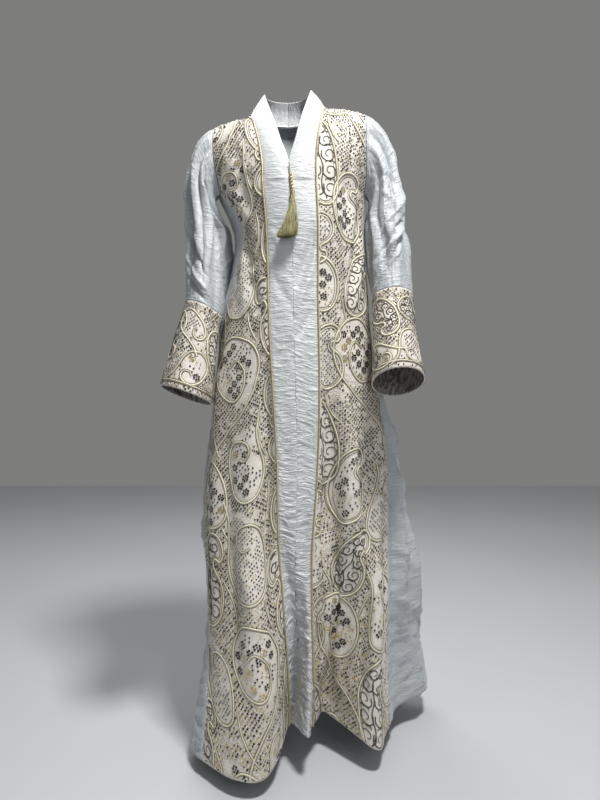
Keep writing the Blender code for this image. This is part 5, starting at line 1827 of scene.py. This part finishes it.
class Embroidery(Couching):
    """Everything sewn on one panel: its cords, and spots of sequins with their places, sizes and
    tones."""

    def __init__(self, panel, rows, leaves, seed):
        super().__init__(panel, rows, leaves)
        self.random = np.random.default_rng(seed)
        self.spots = []
        sewn = np.concatenate(self.ribbons)
        if panel.closed:
            sewn = np.concatenate([sewn + (turn * panel.girth, 0.0) for turn in (-1, 0, 1)])
        self.near = kdtree.KDTree(len(sewn))
        for k, point in enumerate(sewn):
            self.near.insert((*point, 0.0), k)
        self.near.balance()
        for row in rows:
            if row[6] == "flowers":
                self.sew_flowers(row)
            if row[6] == "dots":
                self.sew_dots(row)
        self.sew_ground()

    def clear(self, points):
        """Which flat points leave room for a sequin beside every ribbon."""
        far = [self.near.find((*point, 0.0))[2] > SEQUIN_ROOM for point in points]
        return np.array(far, bool)

    def sew_sequins(self, points, size, gold):
        """Sequins clear of the ribbons: gold is 1 where they shine and 0 where they are dark."""
        points = np.atleast_2d(points)
        lot = self.random.random(len(points))
        tone = np.where(gold > 0, 0.74 + 0.26 * lot, 0.5 * lot)
        size = np.broadcast_to(np.asarray(size, float), len(points))
        kept = self.clear(points)
        self.spots.append((points[kept], size[kept], tone[kept]))

    def golden(self, up):
        """1 for a gold sequin, more often near the hem, else 0."""
        low = np.clip(1 - np.asarray(up) / 0.60, 0, 1) * (not self.panel.closed)
        return (self.random.random(np.shape(up)) < 0.12 + 0.44 * low) * 1

    def sew_flowers(self, row):
        step, inset, stray = FLOWER_NET
        inner = filled(row, -inset)
        for middle in net(np.array(row[:2]), row[2] * 0.6, step):
            middle = middle + self.random.normal(0, stray, 2)
            if not within(middle[None], inner)[0]:
                continue
            gold = self.golden(middle[1])
            if self.random.random() < 0.62:
                petals = flower(middle, self.random.random() * ABOUT_A_TURN)
                self.sew_sequins(petals, 1.36, gold)
                self.sew_sequins(middle, 0.9, gold)
            else:
                petals = flower(middle, self.random.random() * ABOUT_A_TURN, 4, 0.0062)
                self.sew_sequins(petals, 1.10, gold)

    def sew_dots(self, row):
        step, inset, stray = DOT_NET
        points = net(np.array(row[:2]), row[2] * 0.6, step)
        points = points[within(points, filled(row, -inset))]
        points = points[self.random.random(len(points)) < 0.80]
        points = points + self.random.normal(0, stray, points.shape)
        self.sew_sequins(points, 0.92, self.golden(points[:, 1]))

    def sew_ground(self):
        """The ground between the motifs: a net of dots on the bias, some of them missing."""
        wide = self.panel.girth if self.panel.closed else float(np.ptp(self.panel.u))
        tall = float(self.panel.v[-1])
        first = 0.0 if self.panel.closed else float(self.panel.u.min())
        step, inset, stray = GROUND_NET
        step = wide / round(wide / step)
        rows_up = np.arange(0.004, tall, GROUND_RISE)
        x, y = np.meshgrid(first + step * np.arange(round(wide / step)), rows_up)
        x = x + step / 2 * (np.arange(len(rows_up)) % 2)[:, None]
        points = np.stack([x, y], axis=-1).reshape(-1, 2)
        points = points[~self.in_paisley(points, inset)]
        run = noise(points[:, 0] * 60, points[:, 1] * 60)
        points = points[run + 0.5 * self.random.random(len(points)) > 0.46]
        points = points + self.random.normal(0, stray, points.shape)
        size = np.where(self.random.random(len(points)) < 0.35, 1.22, 0.92)
        self.sew_sequins(points, size, self.golden(points[:, 1]))
        between = points[self.random.random(len(points)) < 0.45] + (0.0033, 0.0024)
        self.sew_sequins(between, 0.62, np.ones(len(between)))

    def inlay(self):
        """1 where the panel's points lie inside a paisley."""
        across = self.panel.share() * self.panel.girth if self.panel.closed else self.panel.u
        flat = np.stack([across, self.panel.v[:, None] + 0 * across], axis=-1)
        return self.in_paisley(flat.reshape(-1, 2), -0.004).reshape(self.panel.u.shape) * 1.0


# %% [markdown]
# Each sequin is a small faceted cup, and every one on the garment is an instance of it, turned to
# the cloth it is sewn on. The cords of one colour on one panel become one mesh.

# %% Sewing the fronts and cuffs


def sequin_cup():
    """A shallow cup of six faces, 4 mm across."""
    radius, low, high = 0.0020, 0.0004, 0.0009
    turns = [k * math.pi / 3 for k in range(6)]
    rim = [(radius * math.cos(turn), radius * math.sin(turn), high) for turn in turns]
    faces = [(0, 1 + k, 1 + (k + 1) % 6) for k in range(6)]
    return plain_mesh("sequin_cup", [(0, 0, low), *rim], (), faces)


# Columns: thousandths of the way round, up, length and width in millimetres, lean, hand, filling,
# shape.
CUFF_PAISLEYS = {
    "left": sized(4, (
        (80, 55, 100, 62, 65, 1, "scrolls", "closed"),
        (140, 150, 92, 68, -10, -1, "dots", "hook"),
        (300, 70, 105, 64, 40, -1, "scrolls", "closed"),
        (330, 165, 80, 56, 60, 1, "flowers", "hook"),
        (500, 90, 110, 68, 10, 1, "flowers", "hook"),
        (680, 70, 100, 64, -35, 1, "dots", "hook"),
        (720, 165, 85, 56, 70, -1, "scrolls", "closed"),
        (880, 110, 115, 66, -15, -1, "flowers", "hook"),
    )),
    "right": sized(4, (
        (60, 80, 110, 66, 20, -1, "scrolls", "closed"),
        (200, 60, 95, 60, -55, 1, "dots", "hook"),
        (240, 150, 90, 62, 25, 1, "flowers", "hook"),
        (410, 100, 115, 66, -12, -1, "scrolls", "closed"),
        (580, 70, 100, 64, 35, 1, "flowers", "hook"),
        (620, 165, 80, 56, -65, -1, "dots", "hook"),
        (780, 100, 112, 68, 8, 1, "scrolls", "closed"),
        (920, 160, 80, 56, 55, -1, "dots", "hook"),
    )),
}
# Columns: thousandths of the way round, up and length in millimetres, bend, lean.
CUFF_LEAVES = sized(3, (
    (240, 110, 60, 0.34, 10),
    (420, 150, 60, -0.32, -20),
    (600, 120, 60, 0.3, 14),
    (800, 60, 60, -0.34, 30),
    (990, 150, 55, 0.3, -12),
))
# Where the repeat of the design starts on each front.
OFFSETS = {"front_right": (-0.385, 0.10), "front_left": (0.010, 0.42)}

SEQUIN = link("sequin_cup", sequin_cup())
SEQUINS = scatter_tree("sequins", SEQUIN)
EMBROIDERY = {}
for seed, name in enumerate(("front_right", "front_left", "cuff_right", "cuff_left")):
    panel = PANELS[name]
    if panel.closed:
        rows = round_cuff(CUFF_PAISLEYS[name.split("_")[1]], panel.girth)
        leaves = round_cuff(CUFF_LEAVES, panel.girth)
    else:
        rows = laid_out(panel, OFFSETS[name], PAISLEYS)
        leaves = laid_out(panel, OFFSETS[name], LEAVES)
    EMBROIDERY[name] = Embroidery(panel, rows, leaves, 100 + seed)
    print(name, "paisleys:", len(rows), "sequins:", sum(len(s[0]) for s in EMBROIDERY[name].spots))

# %% The cords and sequins as pieces
SEQUIN_LIFT = 0.0003
SEQUIN_TILT = 0.10
# Columns: material, width, height, sides.
CORD_KINDS = {
    "gold": (GOLD_CORD, 0.0044, 0.0024, 5),
    "olive": (OLIVE_AND_SHADE_CORD, 0.0022, 0.0017, 4),
    "dark": (DARK_THREAD, 0.0030, 0.0015, 4),
}
TRIMS = {name: [] for name in PANELS}
for name, sewn in EMBROIDERY.items():
    for kind, paths in sewn.cords.items():
        if paths:
            TRIMS[name].append(cords(f"{name}_{kind}_cord", paths, *CORD_KINDS[kind]))
    flat = np.concatenate([s[0] for s in sewn.spots])
    points, normals, inside = sewn.panel.at(flat[:, 0], flat[:, 1])
    if not sewn.panel.closed:
        for aside in (-SEAM_MARGIN, SEAM_MARGIN):
            inside &= sewn.panel.at(flat[:, 0] + aside, flat[:, 1])[2]
    inside &= (flat[:, 1] > SEAM_MARGIN) & (flat[:, 1] < sewn.panel.v[-1] - SEAM_MARGIN)
    label = f"{name}_sequins"
    spin = np.random.default_rng(5).random(len(flat)) * ABOUT_A_TURN
    tilt = np.random.default_rng(6).normal(0, SEQUIN_TILT, normals.shape)
    size, tone = (np.concatenate([s[column] for s in sewn.spots])[inside] for column in (1, 2))
    places = points[inside] + normals[inside] * SEQUIN_LIFT
    facing = unit(normals[inside] + tilt[inside])
    mesh = point_mesh(label, places, facing, size=size, tone=tone, turn=spin[inside])
    TRIMS[name].append(made_by_nodes(label, mesh, SEQUINS, SEQUIN_FOIL, size=1.0))
bpy.data.objects.remove(SEQUIN)


# %% [markdown]
# The trims come next: gold piping in the seam on each side of the band, a couched gold line
# round each cuff, running stitches along the neck, the hems and the panel seams, and under the V
# five gold beads and a silk tassel. The piping is a round cord whose path lies just outside both
# cloths of its seam. The cord tree makes it, so its plies can wind along it.

# %% Piping


def piping_line(side):
    """Where the piping lies, and which way is out."""
    column, step, first = (-1, -1, STARTS[2]) if side == "right" else (0, 1, STARTS[4])
    front = CHEST[side]
    band = BANDS[side][: len(front), 1 if side == "right" else -2]
    seam = np.concatenate([LOWER[:, first], front[1:, column]])
    beside_it = (
        np.concatenate([LOWER[:, first + step], front[1:, column + step]]),
        np.concatenate([LOWER[:, first - step], band[1:]]),
    )
    along = unit(np.gradient(seam, axis=0))
    outward = seam * np.array([1.0, 1.0, 0.0]) + np.array([0.0, -0.05, 0.0])
    outward[-len(front) :, 2] += np.linspace(0, 0.2, len(front))
    faces = []
    for near in beside_it:
        face = np.cross(along, near - seam)
        faces.append(unit(face * np.sign(np.sum(face * outward, axis=-1, keepdims=True))))
    way = unit(faces[0] + faces[1])
    groove = np.sum(way * (beside_it[0] - seam), axis=-1, keepdims=True) > 0
    squeeze = np.maximum(np.sum(way * faces[0], axis=-1, keepdims=True), 0.4)
    return seam + way * PIPING_RADIUS / np.where(groove, squeeze, 1.0), way


def round_cord(label, line, way, material, thickness, sides=10):
    """A round cord along a line of points."""
    return cords(label, [(line, way, 1.0, False)], material, thickness, thickness, sides)


PIPING = {}
for side in ("right", "left"):
    line, way = piping_line(side)
    PIPING[side] = round_cord(f"piping_{side}_cord", line, way, PIPING_GOLD, 2.1 * PIPING_RADIUS)

# %% [markdown]
# A running stitch is one small five-sided spindle of thread. The stitch tree spaces spindles
# along a path and turns each one along it. They lie 3.4 mm apart, as a tailor's do.

# %% Running stitches


def flat_line(panel, u, v, lift=0.0003):
    """A line given in flat coordinates, as a path on the cloth: a loop on a tube."""
    points, normals, _ = panel.at(u, np.broadcast_to(v, np.shape(u)))
    return points + normals * lift, normals, 1.0, panel.closed


# Along +Z: how far up each ring of the spindle lies and its radius.
STITCH_RINGS = ((-0.0011, 0.000105), (-0.00066, 0.00042), (0.00066, 0.00042), (0.0011, 0.000105))
SPINDLE = link("spindle", turned_shape("spindle", STITCH_RINGS, 5))
STITCHES = stitch_tree(SPINDLE)


# How far the stitches run from an edge, from the neck and from a seam. Those of the neck start
# at NECK_FOOT above the floor.
EDGE_STITCH = 0.004
NECK_STITCH = 0.009
SEAM_STITCH = 0.0022
NECK_FOOT = 1.285


def stitch_lines(name, panel):
    """The lines of running stitches on one panel."""
    lines = []
    kind, side = name.split("_")[0], name.split("_")[-1]
    span = slice(2, len(panel.v) - 2)
    if kind in ("band", "side", "back"):
        across = np.linspace(panel.u[0, 0] + EDGE_STITCH, panel.u[0, -1] - EDGE_STITCH, 80)
        lines.append(flat_line(panel, across, HEM_TURNING))
    if kind == "band":
        height = panel.points[:, :, 2].mean(axis=1) + SHOULDER_HEIGHT
        rows = np.nonzero(height[:-1] > NECK_FOOT)[0]
        column, way = (-1, -1) if side == "right" else (0, 1)
        lines.append(flat_line(panel, panel.u[rows, column] + way * NECK_STITCH, panel.v[rows]))
    if kind == "front":
        column, way = (0, 1) if side == "right" else (-1, -1)
        lines.append(flat_line(panel, panel.u[span, column] + way * SEAM_STITCH, panel.v[span]))
    if kind == "sleeve":
        across = np.linspace(0, panel.girth, 120, endpoint=False)
        lines.append(flat_line(panel, across, panel.v[-1] - EDGE_STITCH))
    return lines


for name, panel in PANELS.items():
    lines = stitch_lines(name, panel)
    if lines:
        label = f"{name}_stitches"
        mesh = path_mesh(label, lines)
        TRIMS[name].append(made_by_nodes(label, mesh, STITCHES, SEAM_THREAD, pitch=STITCH_PITCH))
bpy.data.objects.remove(SPINDLE)

# %% [markdown]
# Each cuff ends in a couched gold line 16 mm above its edge.

# %% Lines round the cuffs
CUFF_LINE = 0.016
# The darker cords on either side of the gold line are painted shade at its edges.
CUFF_LINES = ((0.0, GOLD_CORD, 0.0036), (0.0028, OLIVE_AND_SHADE_CORD, 0.0018), (-0.0028, OLIVE_AND_SHADE_CORD, 0.0018))
for side in ("right", "left"):
    panel = PANELS[f"cuff_{side}"]
    around = np.linspace(0, panel.girth, 150, endpoint=False)
    for offset, kind, wide in CUFF_LINES:
        label = f"cuff_{side}_line_{kind.name}_{'low' if offset > 0 else 'high'}"
        line = flat_line(panel, around, panel.v[-1] - CUFF_LINE + offset, 0.0005)
        TRIMS[f"cuff_{side}"].append(cords(label, [line], kind, wide, 0.0018, 5))
print("lines round each cuff:", len(CUFF_LINES))

# %% [markdown]
# The pendant hangs on a thread from the foot of the V. Its place comes from the same rule as the
# solid's: a straight fall that just clears the chest. The beads are fluted, as pressed metal
# beads are, and one mesh serves all five.

# %% Beads
BEAD_RADIUS = 0.0034
BEAD_COUNT = 5
BEAD_PITCH = 0.0072
THREAD_RADIUS = 0.0011
HANGER_TOP = 1.272
TASSEL_TOP = 1.213
TASSEL_END = 1.107
HANGER_SWING = 0.006
HEAD_RADIUS = 0.0042
HEAD_LENGTH = 0.012
SEAM_GAP = 0.0003


def centre_seam():
    low = LOWER[:, STARTS[3]]
    rows = int(np.searchsorted(STEPS, 1.0)) + 1
    return np.concatenate([low, BANDS["left"][1:rows, 0]])


def lay_on(seam, top, bottom, clearance):
    """Ends of a straight line between two heights that clears the seam in front of the chest."""
    heights = np.linspace(top, bottom, 25) - SHOULDER_HEIGHT
    near = read_line(heights, seam[:, 2], seam)
    share = np.linspace(0, 1, len(heights))
    chord = blend(near[0, 1], near[-1, 1], share)
    ahead = max(0.0, float((chord - near[:, 1]).max())) + clearance
    offset = np.array([0.0, -ahead, 0.0])
    return near[0] + offset, near[-1] + offset


SWING = np.array([HANGER_SWING, 0.0, 0.0])
TOP, LOW = lay_on(centre_seam(), HANGER_TOP, TASSEL_TOP, BEAD_RADIUS + SEAM_GAP)
LOW = LOW + SWING
FALL = unit(LOW - TOP)
bead_rows = [(-0.0030, 0.0009), (-0.0032, 0.0016)]
for turn in np.radians(range(-60, 61, 15)):
    bead_rows.append((0.0031 * math.sin(turn), BEAD_RADIUS * math.cos(turn)))
bead_rows += [(0.0032, 0.0016), (0.0030, 0.0009)]
BEAD = link("bead", turned_shape("bead", bead_rows, 24, 8, 0.16))
BEADS = scatter_tree("beads", BEAD)
length = float(np.linalg.norm(LOW - TOP))
places = [TOP + FALL * (length - (BEAD_COUNT - k - 0.5) * BEAD_PITCH) for k in range(BEAD_COUNT)]
lie, size, turn = np.tile(FALL, (BEAD_COUNT, 1)), np.ones(BEAD_COUNT), np.arange(BEAD_COUNT) * 0.3
bead_mesh = point_mesh("beads", places, lie, size=size, turn=turn)
BEAD_ROW = made_by_nodes("bead_row", bead_mesh, BEADS, BEAD_METAL, size=1.0)
bpy.data.objects.remove(BEAD)
forward = np.array([0.0, -1.0, 0.0])
share = np.linspace(0, 1, 14)[:, None]
string = blend(TOP, LOW, share)
BEAD_THREAD = round_cord("bead_thread", string, forward, TASSEL_SILK, 2 * THREAD_RADIUS, 8)

# %% [markdown]
# The tassel is a bundle of 460 silk strands, bound at the neck, falling wider and forward and
# swept to the garment's left. Random places in a disc, with a fixed seed, become strands by the
# solid's own rule for how the bundle spreads, and the cord tree gives them their thickness.

# %% Tassel
TASSEL_SPREAD = 6.0
TASSEL_FLATNESS = 0.35
TASSEL_SWING = 0.017
STRANDS = 460
BUNDLE_RADIUS = 0.88 * HEAD_RADIUS
HEAD_TOP, TASSEL_LOW = lay_on(
    centre_seam(), TASSEL_TOP - SEAM_GAP, TASSEL_END, HEAD_RADIUS * 1.05 + SEAM_GAP
)
HEAD_TOP, TASSEL_LOW = HEAD_TOP + SWING, TASSEL_LOW + SWING
DOWN = unit(TASSEL_LOW - HEAD_TOP)
BESIDE = unit(np.cross(DOWN, forward))
HEAD_BOTTOM = HEAD_TOP + DOWN * HEAD_LENGTH


def strand_paths():
    random = np.random.default_rng(21)
    reach = float(np.linalg.norm(TASSEL_LOW - HEAD_TOP)) - HEAD_LENGTH
    share = np.linspace(0, 1, 9)
    paths = []
    for _ in range(STRANDS):
        radius, angle = math.sqrt(random.random()), random.random() * 2 * math.pi
        x, y = radius * math.cos(angle), radius * math.sin(angle)
        long = reach * (1 - 0.05 * (x * x + y * y) - 0.05 * random.random() ** 2)
        spread_out = 1 + (TASSEL_SPREAD - 1) * share**1.3
        wave = 0.0009 * np.sin(share * (6 + 5 * random.random()) + 6.28 * random.random()) * share
        lock = 0.0012 * np.sin(7 * angle) * share
        swept_by = TASSEL_SWING * share**2.2
        aside = x * BUNDLE_RADIUS * spread_out + swept_by + wave + lock
        lifted = (y + (y + 1) * (spread_out - 1) * TASSEL_FLATNESS) * BUNDLE_RADIUS
        path = HEAD_BOTTOM + DOWN * (long * share)[:, None] + BESIDE * aside[:, None]
        path = path + forward * (lifted + 0.5 * wave)[:, None]
        taper = np.interp(share, (0, 0.3, 0.9, 1), (0.8, 1.0, 1.0, 0.55))
        paths.append((path, forward, taper, False))
    return paths


TASSEL_SKIRT = cords("tassel_skirt", strand_paths(), TASSEL_SILK, 0.0013, 0.0013, 4)
turns = np.linspace(0, 1, 160)
angle = turns * 2 * math.pi * 9
ring = np.cos(angle)[:, None] * BESIDE + np.sin(angle)[:, None] * forward
height = 0.15 + 0.8 * turns
neck = HEAD_TOP + DOWN * (HEAD_LENGTH * height)[:, None] + ring * HEAD_RADIUS * 0.9
TASSEL_BINDING = round_cord("tassel_binding", neck, ring, PIPING_GOLD, 0.0012, 6)
head_rows = (
    (0.0, 0.0010), (0.0008, 0.0026), (0.0024, 0.0037), (0.0060, 0.0036), (0.0100, 0.0035),
    (0.0120, 0.0037), (0.0150, 0.0030),
)
head_mesh = turned_shape("tassel_head", head_rows, 20)
frame_of_head = np.stack([BESIDE, np.cross(DOWN, BESIDE), DOWN], axis=1)
for vertex in head_mesh.vertices:
    vertex.co = HEAD_TOP + frame_of_head @ np.array(vertex.co)
head_mesh.materials.append(TASSEL_SILK)
TASSEL_HEAD = link("tassel_head", head_mesh)
print("strands:", STRANDS, "tassel ends at", (TASSEL_LOW[2] + SHOULDER_HEIGHT).round(3), "m")


# %% [markdown]
# Now the cloth itself. Each panel's mesh replaces its imported node and rides on the garment's one
# body. Its flat width, all round on a tube, its length, and the area of the cut, measured before it
# was creased, are printed.

# %% The cloth pieces
# For each kind of panel: its materials, outside first, its thickness and its slot.
CLOTHS = {
    "front": ((GROUND, REVERSE), EMBROIDERED_CLOTH, "embroidered"),
    "cuff": ((GROUND, REVERSE), EMBROIDERED_CLOTH, "embroidered"),
    # The sleeves, the sides and the back take the darker silk, which is painted shade.
    "sleeve": ((SHADED_SILK,), PLAIN_CLOTH, "plain"),
    "side": ((SHADED_SILK,), PLAIN_CLOTH, "plain"),
    "band": ((PLAIN_SILK,), PLAIN_CLOTH, "plain"),
    "back": ((SHADED_SILK,), PLAIN_CLOTH, "plain"),
}
PIECES = {}
for name, panel in PANELS.items():
    materials, thickness, slot = CLOTHS[name.split("_")[0]]
    masks = {"inlay": EMBROIDERY[name].inlay()} if name in EMBROIDERY else None
    PIECES[name] = cloth(f"{name}_cloth", panel, thickness, materials, masks)
    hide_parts(name)
    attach(PIECES[name], "root")
for name, panel in PANELS.items():
    for trim in TRIMS[name]:
        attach(trim, "root")
    wide, long, area = CUTS[name]
    kind, side = name.split("_")[0], name.split("_")[-1]
    print(f"{name}: cut {wide:.3f} by {long:.3f} m, {area:.3f} m2")

# %% The trims
for side in ("right", "left"):
    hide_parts(f"piping_{side}")
    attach(PIPING[side], "root")
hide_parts("bead_string")
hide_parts("tassel")
for piece, slot in (
    (BEAD_ROW, "beads"), (BEAD_THREAD, "beads"), (TASSEL_SKIRT, "tassel"),
    (TASSEL_BINDING, "gold"), (TASSEL_HEAD, "tassel"),
):
    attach(piece, "root")
shown = [o for o in bpy.data.objects if o.type == "MESH" and not o.hide_render]
print("faces shown:", sum(len(o.data.polygons) for o in shown))


# %% [markdown]
# The light falls from almost straight above, so the top of the garment is far brighter than its
# hem and every small crease has a shaded underside. One strong lamp above and in front does that,
# a wide soft one fills the front, and a pale world keeps the rest readable from every side.

# %% Floor, lights and camera
FLOOR_REACH = 4
corners = [(x * FLOOR_REACH, y * FLOOR_REACH) for x, y in ((-1, -1), (1, -1), (1, 1), (-1, 1))]
corners = [(x, y, -SHOULDER_HEIGHT) for x, y in corners]
floor = link("floor", plain_mesh("floor", corners, (), [(0, 1, 2, 3)]))
FLOOR_PAINT, tree = new_material("floor_paint")
cloudy = speckle(tree, own_place(tree), 1.5, 4.0)
dress(FLOOR_PAINT, mixed(tree, cloudy, (0.55, 0.56, 0.60), (0.63, 0.64, 0.67)), 0.45)
floor.data.materials.append(FLOOR_PAINT)


def soft_light(name, origin, target, size, power, colour):
    lamp = bpy.data.lights.new(name, "AREA")
    lamp.size = size
    lamp.energy = power
    lamp.color = colour
    hung = link(name, lamp)
    hung.location = origin
    aim = Vector(target) - Vector(origin)
    hung.rotation_euler = aim.to_track_quat("-Z", "Y").to_euler()


soft_light("ceiling", (0.46, -0.85, 1.40), (0.02, 0.0, -0.45), 0.36, 66, (1.0, 0.99, 0.97))
soft_light("front", (1.3, -2.6, 0.3), (0.0, 0.0, -0.7), 1.6, 11, (0.95, 0.97, 1.0))
soft_light("behind", (-0.4, 1.6, 1.3), (0.0, 0.0, -0.5), 1.4, 20, (1.0, 1.0, 1.0))
world = bpy.data.worlds.new("room")
world.use_nodes = True
sky = world.node_tree.nodes["Background"].inputs
sky["Color"].default_value = (0.86, 0.87, 0.84, 1)
sky["Strength"].default_value = 0.24
bpy.context.scene.world = world
bpy.context.scene.view_settings.view_transform = "Standard"

camera = bpy.data.cameras.new("camera")
camera.lens = 27.09
camera.sensor_width = 36
view = link("camera", camera)
view.location = (0.0244, -1.4, -0.662)
view.rotation_euler = (math.pi / 2, 0, 0)
bpy.context.scene.camera = view
print("camera", tuple(view.location), "lens", camera.lens)
